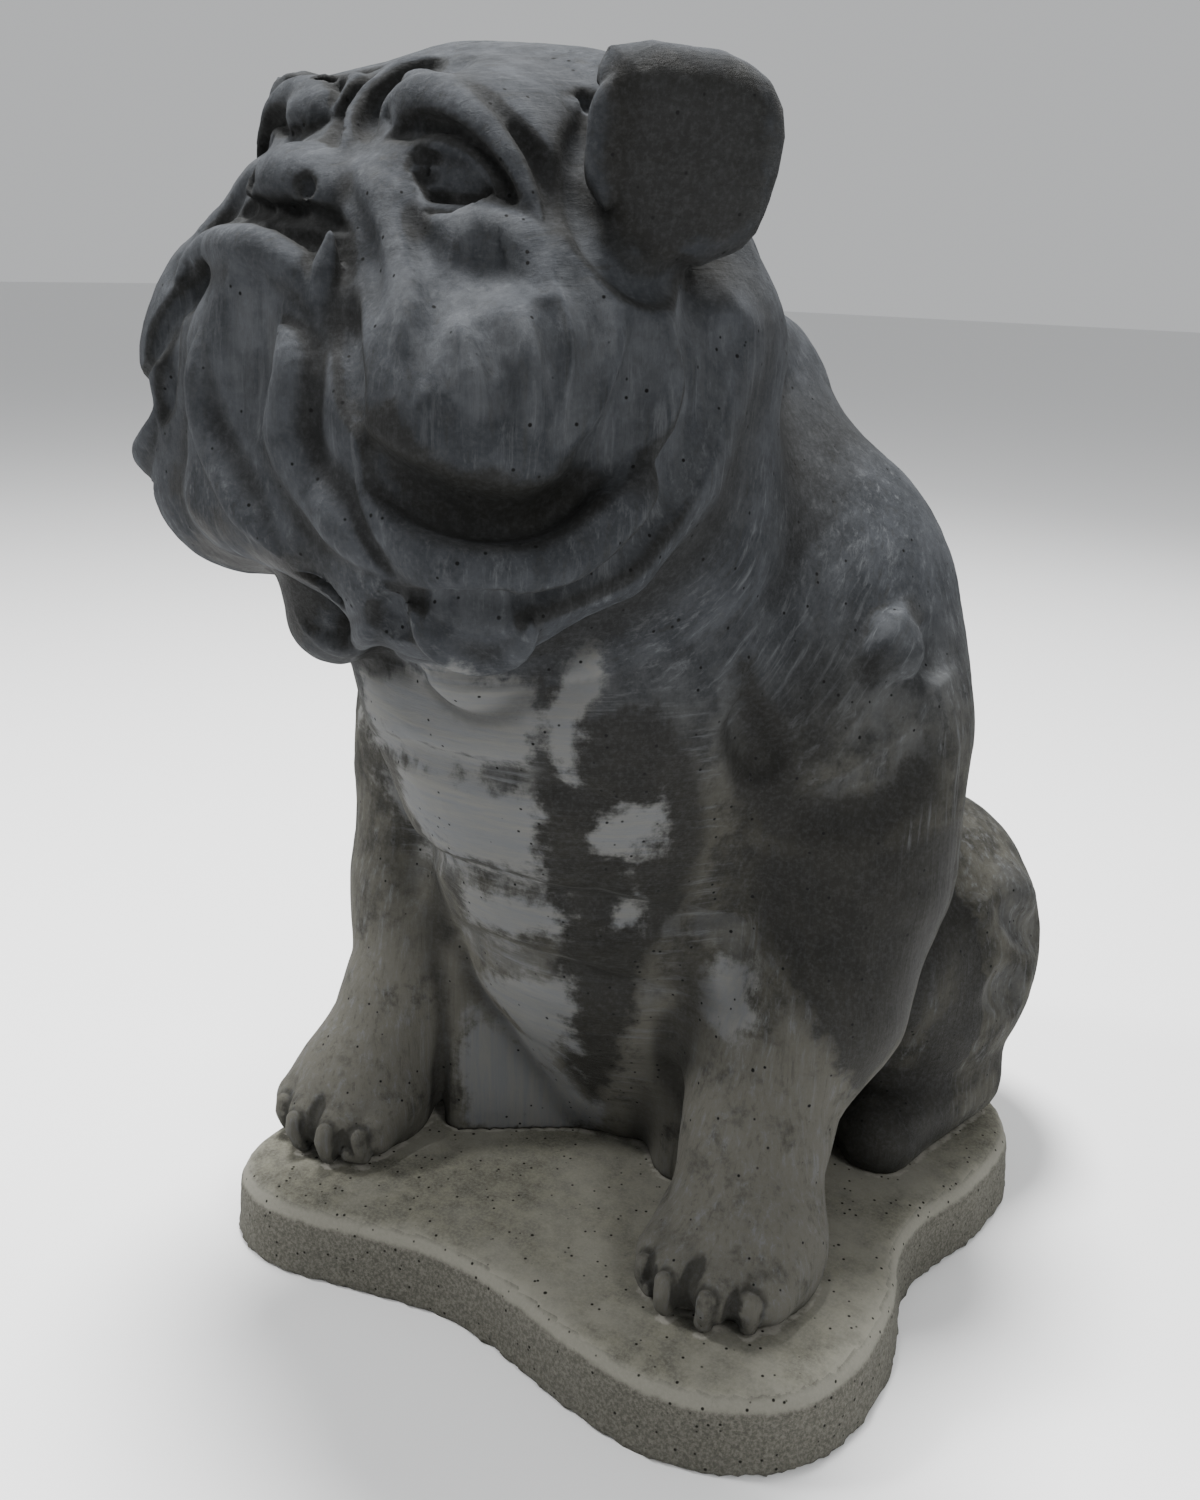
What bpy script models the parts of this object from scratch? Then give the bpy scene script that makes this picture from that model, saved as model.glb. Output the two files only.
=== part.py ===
# Bulldog garden statue: a sitting dog cast in concrete, bedded on its own cast slab.
# Metres, +Z up. The origin is on the ground under the middle of the slab; the dog faces -Y.
import bpy
import numpy as np
from concurrent.futures import ThreadPoolExecutor

# Driving dimensions, in metres
DOG_HEIGHT = 0.95          # crown of the head above the slab
SLAB_THICKNESS = 0.07
SLAB_MARGIN = 0.035        # slab edge beyond the stance line
EDGE_WEAR = 0.014          # worn-off upper edge of the slab
EDGE_DRAFT = 0.004         # how far the slab's side leans in towards the top
BED_GAP = 0.0003           # mortar bed between dog and slab
UNIT = DOG_HEIGHT / 100

# Fineness of the cast form: lattice spacing in units, and triangles kept in the dog
LATTICE = 1.15
DOG_TRIANGLES = 8600

for thing in list(bpy.data.objects):
    bpy.data.objects.remove(thing)


def softMin(a, b, blend):
    near = np.maximum(blend - np.abs(a - b), 0.0) / blend
    return np.minimum(a, b) - near * near * blend * 0.25


def softMax(a, b, blend):
    return -softMin(-a, -b, blend)


def turnMatrix(angles):
    pitch, roll, yaw = np.radians(angles)
    aboutX = np.array([[1, 0, 0], [0, np.cos(pitch), -np.sin(pitch)], [0, np.sin(pitch), np.cos(pitch)]])
    aboutY = np.array([[np.cos(roll), 0, np.sin(roll)], [0, 1, 0], [-np.sin(roll), 0, np.cos(roll)]])
    aboutZ = np.array([[np.cos(yaw), -np.sin(yaw), 0], [np.sin(yaw), np.cos(yaw), 0], [0, 0, 1]])
    return aboutZ @ aboutY @ aboutX


def egg(p, centre, radii, turn=(0, 0, 0)):
    q = (p - np.array(centre)) @ turnMatrix(turn)
    r = np.array(radii, float)
    scaled = np.sqrt(((q / r) ** 2).sum(1)) + 1e-9
    steep = np.sqrt(((q / r ** 2) ** 2).sum(1)) + 1e-9
    return scaled * (scaled - 1.0) / steep


def limb(p, stations):
    # a run of balls of changing size, joined by cones
    stops = np.array(stations, float)
    nearest = np.full(len(p), 1e9)
    for a, b in zip(stops[:-1], stops[1:]):
        run = b[:3] - a[:3]
        share = np.clip(((p - a[:3]) @ run) / (run @ run), 0.0, 1.0)
        gap = np.sqrt(((p - a[:3] - share[:, None] * run) ** 2).sum(1))
        nearest = np.minimum(nearest, gap - (a[3] + share * (b[3] - a[3])))
    return nearest


def pad(p, centre, half, turn, edge):
    # a block with round edges
    q = np.abs((p - np.array(centre)) @ turnMatrix(turn)) - (np.array(half) - edge)
    return np.sqrt((np.maximum(q, 0) ** 2).sum(1)) + np.minimum(q.max(1), 0) - edge


def outlineDistance(p, ring):
    # signed distance to a closed outline in the plane, under nought inside it
    inside = np.zeros(len(p), bool)
    nearest = np.full(len(p), 1e18)
    for a, b in zip(ring, np.roll(ring, -1, 0)):
        run = b - a
        share = np.clip(((p - a) @ run) / (run @ run), 0, 1)
        nearest = np.minimum(nearest, ((p - a - share[:, None] * run) ** 2).sum(1))
        rise = run[1] if abs(run[1]) > 1e-9 else 1e-9
        crosses = (a[1] > p[:, 1]) != (b[1] > p[:, 1])
        inside ^= crosses & (p[:, 0] < a[0] + run[0] * (p[:, 1] - a[1]) / rise)
    return np.where(inside, -1, 1) * np.sqrt(nearest)


def flap(p, centre, half, turn, edge, ring):
    # a soft-edged leaf of flesh: an outline in its own plane, bowed outward a little
    q = (p - np.array(centre)) @ turnMatrix(turn)
    q[:, 0] += 0.012 * np.sign(centre[0]) * (q[:, 1] ** 2 + q[:, 2] ** 2)
    return softMax(outlineDistance(q[:, 1:], np.array(ring)), np.abs(q[:, 0]) - half[0], edge)


makers = {"egg": egg, "limb": lambda p, *stations: limb(p, stations), "pad": pad, "flap": flap}


def formBox(kind, data):
    # a box that surely holds the form
    if kind == "limb":
        stops = np.array(data, float)
        return (stops[:, :3] - stops[:, 3:]).min(0), (stops[:, :3] + stops[:, 3:]).max(0)
    reach = max(data[1]) if kind == "egg" else np.sqrt((np.array(data[1], float) ** 2).sum())
    return np.array(data[0], float) - reach, np.array(data[0], float) + reach


def addForms(f, p, forms):
    # a form too far from these points to touch or blend is only counted as far off
    low, high = p.min(0), p.max(0)
    f = np.full(len(p), 60.0) if f is None else f
    for kind, blend, data in forms.values():
        formLow, formHigh = formBox(kind, data)
        away = np.sqrt((np.maximum(np.maximum(formLow - high, low - formHigh), 0) ** 2).sum())
        if away > 9:
            f = np.minimum(f, away)
        else:
            f = softMin(f, makers[kind](p, *data), max(blend, 0.01))
    return f


def mirrored(p, soften=0.0):
    q = p.copy()
    q[:, 0] = np.sqrt(p[:, 0] ** 2 + soften ** 2)
    return q


def smoothLine(points, steps=3):
    c = np.array(points, float)
    ends = np.vstack([2 * c[0] - c[1], c, 2 * c[-1] - c[-2]])
    line = []
    for a, b, d, e in zip(ends[:-3], ends[1:-2], ends[2:-1], ends[3:]):
        for t in np.arange(steps) / steps:
            bend = (2 * a - 5 * b + 4 * d - e) * t * t + (3 * b - a - 3 * d + e) * t ** 3
            line.append(0.5 * (2 * b + (d - a) * t + bend))
    return np.array(line + [c[-1]])


def lineDistance(p, line):
    # distance to a line, and how far along it the nearest point lies, from 0 to 1
    nearest = np.full(len(p), 1e18)
    along = np.zeros(len(p))
    lengths = np.sqrt((np.diff(line, axis=0) ** 2).sum(1))
    starts = np.concatenate([[0.0], np.cumsum(lengths)])
    for a, b, length, start in zip(line[:-1], line[1:], lengths, starts):
        share = np.clip(((p - a) @ (b - a)) / max(length ** 2, 1e-9), 0.0, 1.0)
        gap = ((p - a - share[:, None] * (b - a)) ** 2).sum(1)
        better = gap < nearest
        nearest[better] = gap[better]
        along[better] = (start + share[better] * length) / starts[-1]
    return np.sqrt(nearest), along


def inParallel(field, p, side=12.0):
    # points are handed out cube by cube, so that far-off forms can be left out of each cube
    if not len(p):
        return np.zeros(0)
    key = ((p + 120) // side).astype(np.int64) @ np.array([1, 1000, 1000000])
    order = np.argsort(key, kind="stable")
    breaks = np.flatnonzero(np.diff(key[order])) + 1
    groups = np.split(order, breaks)
    values = np.zeros(len(p))
    with ThreadPoolExecutor(4) as pool:
        for group, value in zip(groups, pool.map(lambda g: field(p[g]), groups)):
            values[group] = value
    return values


def settle(field, p, rounds, most):
    # pulls points onto the surface along the field's slope, no further than most
    start = p.copy()
    step = 0.06
    for _ in range(rounds):
        here = inParallel(field, p)
        slope = np.stack([inParallel(field, p + step * side) - here for side in np.eye(3)], 1) / step
        p = p - slope * (here / np.maximum((slope ** 2).sum(1), 0.15))[:, None]
    move = p - start
    far = np.sqrt((move ** 2).sum(1))
    return start + move * np.minimum(1.0, most / np.maximum(far, 1e-9))[:, None]


def cleanPatterns():
    # which of the 256 patterns of a cell's inside corners give one clean sheet of skin
    corners = [(i, j, k) for i in (0, 1) for j in (0, 1) for k in (0, 1)]
    clean = np.zeros(256, bool)
    for code in range(256):
        inside = [c for n, c in enumerate(corners) if code >> n & 1]
        outside = [c for c in corners if c not in inside]
        ok = all(inOnePiece(group) for group in (inside, outside))
        for axis in range(3):
            for side in (0, 1):
                a, b, c, d = [corner in inside for corner in corners if corner[axis] == side]
                ok = ok and not (a == d and b == c and a != b)
        clean[code] = ok
    return clean


def inOnePiece(group):
    if not group:
        return True
    seen, todo = set(), [group[0]]
    while todo:
        corner = todo.pop()
        seen.add(corner)
        for axis in range(3):
            other = tuple(1 - v if n == axis else v for n, v in enumerate(corner))
            if other in group and other not in seen:
                todo.append(other)
    return len(seen) == len(group)


def fillLattice(field, planes, block=8, slack=1.6):
    # the field at every lattice point near the skin, and a rough value elsewhere
    dims = [len(g) for g in planes]
    starts = [np.arange(0, n - 1, block) for n in dims]
    ends = [np.minimum(s + block, n - 1) for s, n in zip(starts, dims)]
    middles = [(g[s] + g[e]) / 2 for g, s, e in zip(planes, starts, ends)]
    halves = [(g[e] - g[s]) / 2 for g, s, e in zip(planes, starts, ends)]
    centres = np.stack(np.meshgrid(*middles, indexing="ij"), -1)
    reach = np.sqrt((np.stack(np.meshgrid(*halves, indexing="ij"), -1) ** 2).sum(-1))
    rough = inParallel(field, centres.reshape(-1, 3)).reshape(reach.shape)
    spans = [np.append(np.repeat(np.arange(len(s)), e - s), len(s) - 1) for s, e in zip(starts, ends)]
    f = rough[np.ix_(*spans)].astype(np.float32)
    near = np.zeros(dims, bool)
    for i, j, k in np.argwhere(np.abs(rough) < reach * slack):
        near[starts[0][i]:ends[0][i] + 1, starts[1][j]:ends[1][j] + 1, starts[2][k]:ends[2][k] + 1] = True
    at = np.argwhere(near)
    f[near] = inParallel(field, np.stack([g[at[:, n]] for n, g in enumerate(planes)], 1))
    f[f == 0] = 1e-6
    return f


def cornerCodes(inside):
    dims = inside.shape
    codes = np.zeros([n - 1 for n in dims], np.uint8)
    for n in range(8):
        i, j, k = n >> 2, n >> 1 & 1, n & 1
        part = inside[i:dims[0] - 1 + i, j:dims[1] - 1 + j, k:dims[2] - 1 + k]
        codes |= part.astype(np.uint8) << n
    return codes


def skin(field, planes):
    # a closed mesh of quads on the lattice cells that the surface passes through
    f = fillLattice(field, planes)
    inside = f < 0
    clean = cleanPatterns()
    codes = cornerCodes(inside)
    for _ in range(60):
        doubtful = np.argwhere(~clean[codes])
        if not len(doubtful):
            break
        for i, j, k in doubtful:
            corner = f[i:i + 2, j:j + 2, k:k + 2]
            a, b, c = np.unravel_index(np.where(corner > 0, corner, 1e9).argmin(), (2, 2, 2))
            f[i + a, j + b, k + c] = -1e-4
            inside[i + a, j + b, k + c] = True
        codes = cornerCodes(inside)
    mixed = (codes > 0) & (codes < 255)
    cells = np.argwhere(mixed)
    number = np.full(codes.shape, -1, np.int32)
    number[mixed] = np.arange(len(cells))
    total, count = np.zeros((len(cells), 3)), np.zeros(len(cells))
    for axis in range(3):
        for u, v in ((0, 0), (0, 1), (1, 0), (1, 1)):
            low, high = cells + np.insert([u, v], axis, 0), cells + np.insert([u, v], axis, 1)
            fLow, fHigh = f[tuple(low.T)].astype(float), f[tuple(high.T)].astype(float)
            cut = (fLow < 0) != (fHigh < 0)
            share = (fLow[cut] / (fLow[cut] - fHigh[cut]))[:, None]
            a = np.stack([g[low[cut][:, n]] for n, g in enumerate(planes)], 1)
            b = np.stack([g[high[cut][:, n]] for n, g in enumerate(planes)], 1)
            total[cut] += a + share * (b - a)
            count[cut] += 1
    return total / count[:, None], skinQuads(inside, number)


def skinQuads(inside, number):
    quads = []
    for axis in range(3):
        low, high = [slice(1, -1)] * 3, [slice(1, -1)] * 3
        low[axis], high[axis] = slice(0, -1), slice(1, None)
        a, b = inside[tuple(low)], inside[tuple(high)]
        u, v = [(1, 2), (2, 0), (0, 1)][axis]
        for order, crossing in ((1, a & ~b), (-1, ~a & b)):
            at = np.argwhere(crossing) + [int(n != axis) for n in range(3)]
            ring = []
            for du, dv in ((1, 1), (0, 1), (0, 0), (1, 0)):
                cell = at.copy()
                cell[:, u] -= du
                cell[:, v] -= dv
                ring.append(number[tuple(cell.T)])
            quads.append(np.stack(ring, 1)[:, ::order])
    return np.concatenate(quads)


def largestPiece(points, quads):
    # drops stray crumbs and sealed bubbles, and keeps the one big closed skin
    label = np.arange(len(points))
    while True:
        least = label[quads].min(1)
        fresh = label.copy()
        np.minimum.at(fresh, quads.ravel(), np.repeat(least, 4))
        fresh = fresh[fresh]
        if (fresh == label).all():
            break
        label = fresh
    kept = label == np.bincount(label).argmax()
    renumber = np.cumsum(kept) - 1
    return points[kept], renumber[quads[kept[quads[:, 0]]]]


# All figure sizes are in units of a hundredth of the dog's height, nought on top of the slab.
# The dog faces -Y. Its head is turned towards its right and leans a little to its left.
headPose = {"turn": 16.0, "lean": -3.5, "pivotY": -15.0, "leanZ": 85.0}


def headMatrix():
    return turnMatrix((0, 0, headPose["turn"])), turnMatrix((0, headPose["lean"], 0))


def toHead(p):
    turned, leaned = headMatrix()
    pivot, middle = np.array([0, headPose["pivotY"], 0]), np.array([0, 0, headPose["leanZ"]])
    return ((p - pivot) @ turned.T + pivot - middle) @ leaned.T + middle


def fromHead(q):
    turned, leaned = headMatrix()
    pivot, middle = np.array([0, headPose["pivotY"], 0]), np.array([0, 0, headPose["leanZ"]])
    return ((q - middle) @ leaned + middle - pivot) @ turned + pivot


# Each form: kind, blend with what is already there, then its sizes
trunkForms = {
    "chest": ("limb", 0, [(0, -14.5, 62, 19), (0, -11, 54, 21.3), (0, -7.5, 45, 20.5),
                          (0, -5, 38, 19.5), (0, -0.5, 25, 18.2), (0, 4, 11, 15.2)]),
    "back": ("limb", 8, [(0, -6, 82, 11.5), (0, 2, 70, 15.5), (0, 8, 56, 18.5),
                         (0, 14, 40, 19.5), (0, 18, 22, 19), (0, 20, 10, 17)]),
    "shoulder": ("egg", 8, [(16, 2, 53), (13, 14, 18)]),
    "upperArm": ("limb", 6, [(21, -2, 46, 11), (22, -2.5, 35, 10.5), (20.8, -5.5, 24, 9.2)]),
    "foreleg": ("limb", 4, [(20.6, -6.5, 22, 9.0), (20, -11, 15, 7.2), (20.8, -14.5, 9, 6.6),
               (22, -17, 4.5, 7)]),
    "paw": ("egg", 3, [(22.0, -18.4, 2.6), (7.0, 6.8, 6.0)]),
    "toeOne": ("limb", 1.2, [(17.2, -18, 4.6, 2.7), (16.8, -22.6, 2.8, 2.6)]),
    "toeTwo": ("limb", 1.0, [(19.8, -19, 5.4, 2.9), (19.5, -24.4, 3.0, 2.75)]),
    "toeThree": ("limb", 1.0, [(23.0, -19, 5.4, 2.9), (23.2, -24.3, 3.1, 2.8)]),
    "toeFour": ("limb", 1.0, [(26.0, -18, 4.8, 2.8), (26.5, -22.3, 2.9, 2.65)]),
    "thigh": ("egg", 5, [(21, 21, 17), (14.5, 16.5, 17.5)]),
    "knee": ("egg", 3, [(24, 9.5, 21), (6.5, 6, 8)]),
    "rump": ("egg", 8, [(0, 22, 16), (20, 17, 18)]),
    "hindFoot": ("limb", 2.5, [(29, 20, 4, 5), (26.5, 10, 3.4, 4.6), (25.8, 6, 3, 4.4)]),
    "web": ("pad", 3, [(12.5, 1, 6), (6, 11, 8.5), (0, 0, 0), 4]),
}
# these are on one side only: the tail, and the wall of stone between the right foreleg and the belly
tailForms = {
    "rightWall": ("pad", 1.5, [(-8, -8.2, 9), (8.6, 3, 13.5), (0, 0, 36), 2.0]),
    "tail": ("limb", 2.5, [(0, 35, 22, 3.2), (2, 39.5, 18, 2.6), (5.5, 40, 15, 1.9),
               (8, 38, 14.5, 1.3)]),
}
headForms = {
    "skull": ("egg", 0, [(0, -21, 87), (14.5, 15, 13.3)]),
    "poll": ("egg", 4, [(7, -20, 91), (8, 9, 8.6)]),
    "forehead": ("egg", 4, [(0, -27.5, 90), (8, 8.6, 9.2)]),
    "brow": ("egg", 2.5, [(7.2, -29.4, 90.6), (8.4, 8.4, 7.6)]),
    "cheek": ("egg", 5, [(14.5, -29, 80), (9, 10, 10.5)]),
    "flew": ("egg", 4, [(12.4, -35.2, 76.5), (11, 10, 10.5)]),
    "muzzle": ("egg", 4, [(0, -33.5, 86.5), (9, 7, 5.6)]),
    "bridge": ("limb", 2.5, [(0, -37, 89.4, 3.4), (0, -31.5, 91.2, 4.8)]),
    "chop": ("limb", 2.0, [(2.6, -37.4, 89.0, 3.2), (6.2, -36.8, 87.6, 4.2), (9.0, -36.6, 84, 5.0),
               (11.2, -36, 79, 6.5)]),
    "chin": ("pad", 1.5, [(0, -39.4, 73.4), (9.2, 6.6, 9.4), (-3, 0, 0), 4.2]),
    "chinTop": ("egg", 2.0, [(-0.4, -40.2, 79.6), (8.8, 6.2, 8.8)]),
    "lobe": ("egg", 3, [(12.5, -37, 67.6), (9.4, 7.8, 7.4)]),
    "jowl": ("limb", 3, [(17.5, -19, 82, 3.5), (20, -24, 74, 4), (20.5, -30, 69.5, 4.5),
               (17, -35, 67, 5)]),
    "collar": ("limb", 6, [(10, -14, 80, 9), (12, -18, 68, 9), (8, -25, 62, 8)]),
    "nose": ("egg", 0.8, [(0, -39.6, 90.2), (4.4, 3.3, 2.6)]),
    "nostrilWing": ("egg", 0.7, [(3.3, -39.7, 89.3), (2.2, 2.7, 2.0)]),
    "lip": ("egg", 0.8, [(3.2, -39.0, 86.6), (3.8, 3.2, 2.2)]),
}
# the ear's outline in its own plane: towards the back, and up
earRing = [(-5.6, 7.6), (-3.0, 8.2), (-0.2, 8.1), (2.0, 8.1), (3.6, 7.7), (5.5, 6.9), (6.8, 5.5),
           (7.3, 3.7),
           (7.2, 1.5), (7.0, -0.4), (6.5, -2.6), (5.5, -3.8), (3.5, -4.6), (1.7, -5.5),
                      (-0.6, -6.4), (-2.5, -5.6),
           (-4.3, -3.9), (-5.5, -2.6), (-6.3, -1.1), (-6.4, 0.2), (-6.3, 2.4), (-6.3, 4.7), (-6.2, 6.2)]
earForms = {
    "leftEar": ("flap", 1.0, [(19.6, -24.4, 91.8), (2.3, 9, 11), (0, 12, -18), 2.8, earRing]),
    "rightEar": ("flap", 1.0, [(-19.0, -25.6, 90.2), (2.3, 9, 11), (0, -12, 18), 3.4, earRing]),
}
throatForms = {
    "rightPouch": ("limb", 2, [(-3, -36, 63, 4), (-3.5, -35, 58.5, 4)]),
    "leftPouch": ("limb", 2, [(8, -33, 61, 4.5), (9.5, -31, 58.5, 4.2)]),
}
def baseField(p):
    f = addForms(None, mirrored(p, 0.5), trunkForms)
    f = addForms(f, p, tailForms)
    q = toHead(p)
    head = addForms(None, mirrored(q, 0.3), headForms)
    head = addForms(head, q, earForms)
    f = softMin(f, head, 5)
    return addForms(f, q, throatForms)


# Folds and creases are drawn as seen from one place in front of the dog's left side, in the
# points of a picture 1200 wide and 1500 high, and thrown from there onto the form.
lens = {"place": (63.4, -114.8, 85.7), "turn": 30.93, "tip": 19.13, "lean": 2.07, "reach": 1400,
           "middle": (600, 750)}
# Each stroke: kind, size, width, which sides, points. A line is a shallow ridge or, with a size
# under nought, a crease; a roll adds a rope of flesh and a cut takes one away.
faceStrokes = {
    "mouthGap": ("cut", 0.8, 0.5, "head", [(236, 231), (262, 234), (288, 243), (310, 258), (328, 280)]),
    "lipRim": ("roll", 1.5, 1.4, "one", [(172, 300), (184, 272), (200, 256), (222, 249), (248, 248),
               (273, 256), (297, 270),
                                      (314, 295), (322, 325)]),
    "rightChinRidge": ("roll", 1.4, 1.5, "one", [(200, 324), (201, 362), (206, 400), (214, 435),
               (228, 470),
                                                 (245, 505), (268, 540), (282, 562)]),
    "leftChinRidge": ("roll", 1.8, 1.5, "one", [(273, 311), (286, 343), (292, 375), (290, 407),
               (292, 439),
                                                (311, 471), (337, 512), (362, 547), (391, 579)]),
    "chinScoop": ("line", -1.8, 2.6, "one", [(232, 275), (238, 310), (245, 350), (250, 400),
               (262, 440)]),
    "rightChinCrease": ("cut", 1.0, 1.0, "one", [(176, 286), (168, 324), (164, 375), (160, 430)]),
    "mouthCrease": ("cut", 1.1, 0.9, "head", [(336, 262), (342, 300), (343, 345), (346, 385),
               (354, 420), (366, 450)]),
    "flewShadow": ("cut", 2.0, 1.2, "head", [(356, 420), (378, 462), (410, 498), (450, 522),
               (500, 532), (545, 527),
                                             (582, 502), (608, 458), (622, 400)]),
    "smileRoll": ("roll", 1.9, 1.8, "head", [(352, 470), (378, 515), (415, 552), (464, 572),
               (519, 574), (570, 556),
                                             (622, 510), (657, 440), (684, 370), (700, 300)]),
    "underRoll": ("cut", 1.4, 1.2, "head", [(375, 579), (406, 596), (452, 604), (500, 604),
               (550, 596), (610, 570),
                                            (662, 520), (702, 440), (730, 370)]),
    "noseFoldInner": ("line", -0.6, 0.8, "head", [(344, 172), (352, 195), (362, 220), (370, 250),
               (374, 285), (372, 320)]),
    "eyeFold": ("line", -0.9, 0.9, "head", [(366, 158), (384, 192), (406, 222), (424, 255),
               (430, 290), (428, 330)]),
    "chopRidge": ("line", 0.7, 1.2, "head", [(352, 165), (368, 190), (386, 222), (402, 262),
               (408, 310), (404, 360)]),
    "flewFoldOne": ("line", -1.0, 1.1, "head", [(440, 290), (452, 335), (462, 380), (466, 430),
               (470, 470)]),
    "flewFoldTwo": ("line", -1.1, 1.2, "head", [(474, 330), (488, 360), (499, 395), (502, 430),
               (505, 470)]),
    "flewFoldThree": ("line", -1.2, 1.3, "head", [(536, 250), (548, 300), (550, 350), (544, 400),
               (530, 455)]),
    "flewFoldFour": ("line", -1.4, 1.4, "head", [(572, 225), (586, 270), (592, 320), (590, 370),
               (576, 430)]),
    "flewFoldFive": ("line", -1.2, 1.3, "head", [(606, 270), (620, 320), (622, 370), (614, 415),
               (598, 455)]),
    "socket": ("cut", 3.1, 0.9, "head", [(412, 176), (438, 171), (468, 180), (494, 196)]),
    "browRidge": ("roll", 1.1, 2.4, "head", [(374, 132), (386, 114), (405, 101), (432, 97),
               (457, 105), (484, 127),
                                             (508, 156), (531, 194), (546, 224)]),
    "browRing": ("roll", 0.9, 0.6, "head", [(374, 124), (382, 103), (400, 88), (422, 84), (440, 90)]),
    "browUnder": ("cut", 0.9, 0.5, "head", [(380, 148), (392, 135), (414, 128), (442, 131),
               (467, 147), (490, 169),
                                            (511, 197), (526, 222)]),
    "eyePouch": ("line", -0.8, 2.6, "head", [(445, 240), (480, 262), (510, 268), (535, 262)]),
    "cheekCord": ("line", 0.6, 1.0, "head", [(520, 262), (528, 310), (528, 360), (520, 410),
               (508, 455)]),
    "templeCord": ("line", 0.5, 1.2, "head", [(470, 78), (505, 98), (535, 130), (556, 170),
               (568, 215), (572, 260)]),
    "browTopCrease": ("line", -0.6, 0.9, "head", [(446, 92), (475, 102), (504, 128), (530, 160),
               (548, 196)]),
    "foreheadCreaseOne": ("line", -0.6, 0.9, "one", [(436, 80), (452, 66), (475, 56)]),
    "foreheadCreaseTwo": ("line", -0.5, 0.9, "one", [(325, 122), (332, 103), (346, 88), (362, 78)]),
    "farBrowFold": ("line", -0.6, 0.8, "one", [(270, 120), (282, 104), (302, 90), (325, 80)]),
    "stopRoll": ("roll", 0.9, 1.0, "one", [(342, 150), (350, 127), (365, 104), (388, 83), (414, 66),
               (445, 55)]),
    "stopCreaseLeft": ("cut", 0.8, 0.8, "one", [(366, 145), (370, 122), (384, 101), (408, 82),
               (428, 68), (450, 56)]),
    "stopCreaseRight": ("cut", 0.8, 0.8, "one", [(335, 148), (340, 127), (354, 105), (373, 84),
               (396, 69), (420, 60)]),
    "rightBrowCrease": ("cut", 0.7, 0.7, "one", [(299, 108), (314, 95), (340, 82), (360, 73),
               (385, 65)]),
    "rightBrowKnob": ("roll", 1.4, 1.2, "one", [(290, 134), (302, 120), (318, 112), (332, 118)]),
    "templeCrease": ("line", -0.7, 1.0, "head", [(505, 128), (527, 150), (545, 180), (556, 215),
               (560, 250)]),
    "earCrease": ("cut", 1.1, 1.4, "head", [(590, 92), (586, 120), (582, 150), (580, 185),
               (585, 212), (598, 240), (616, 264),
                                            (640, 282), (665, 284), (700, 272)]),
    "earHollow": ("cut", 1.5, 0.8, "head", [(598, 84), (593, 96), (588, 112)]),
    "nostril": ("cut", 0.8, 0.3, "head", [(316, 180), (303, 185), (296, 196)]),
    "noseUnder": ("cut", 0.6, 0.4, "head", [(272, 208), (290, 213), (312, 214), (334, 222),
               (350, 234)]),
    "lipCleft": ("line", -0.5, 0.5, "one", [(280, 212), (272, 228), (262, 242)]),
    "rightPouchHollow": ("cut", 1.9, 0.8, "one", [(320, 580), (322, 586), (324, 592)]),
    "leftPouchHollow": ("line", -2.2, 1.8, "one", [(430, 608), (470, 616), (515, 608)]),
    "leftPouchRim": ("roll", 1.1, 1.2, "one", [(402, 596), (418, 622), (444, 648), (470, 660),
               (498, 658), (522, 644), (533, 615)]),
    "rightPouchRim": ("roll", 0.9, 1.0, "one", [(290, 604), (308, 630), (332, 645), (355, 645),
               (372, 622), (372, 596)]),
    "pouchCleft": ("cut", 1.2, 1.2, "one", [(378, 590), (388, 612), (394, 640)]),
}
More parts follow.
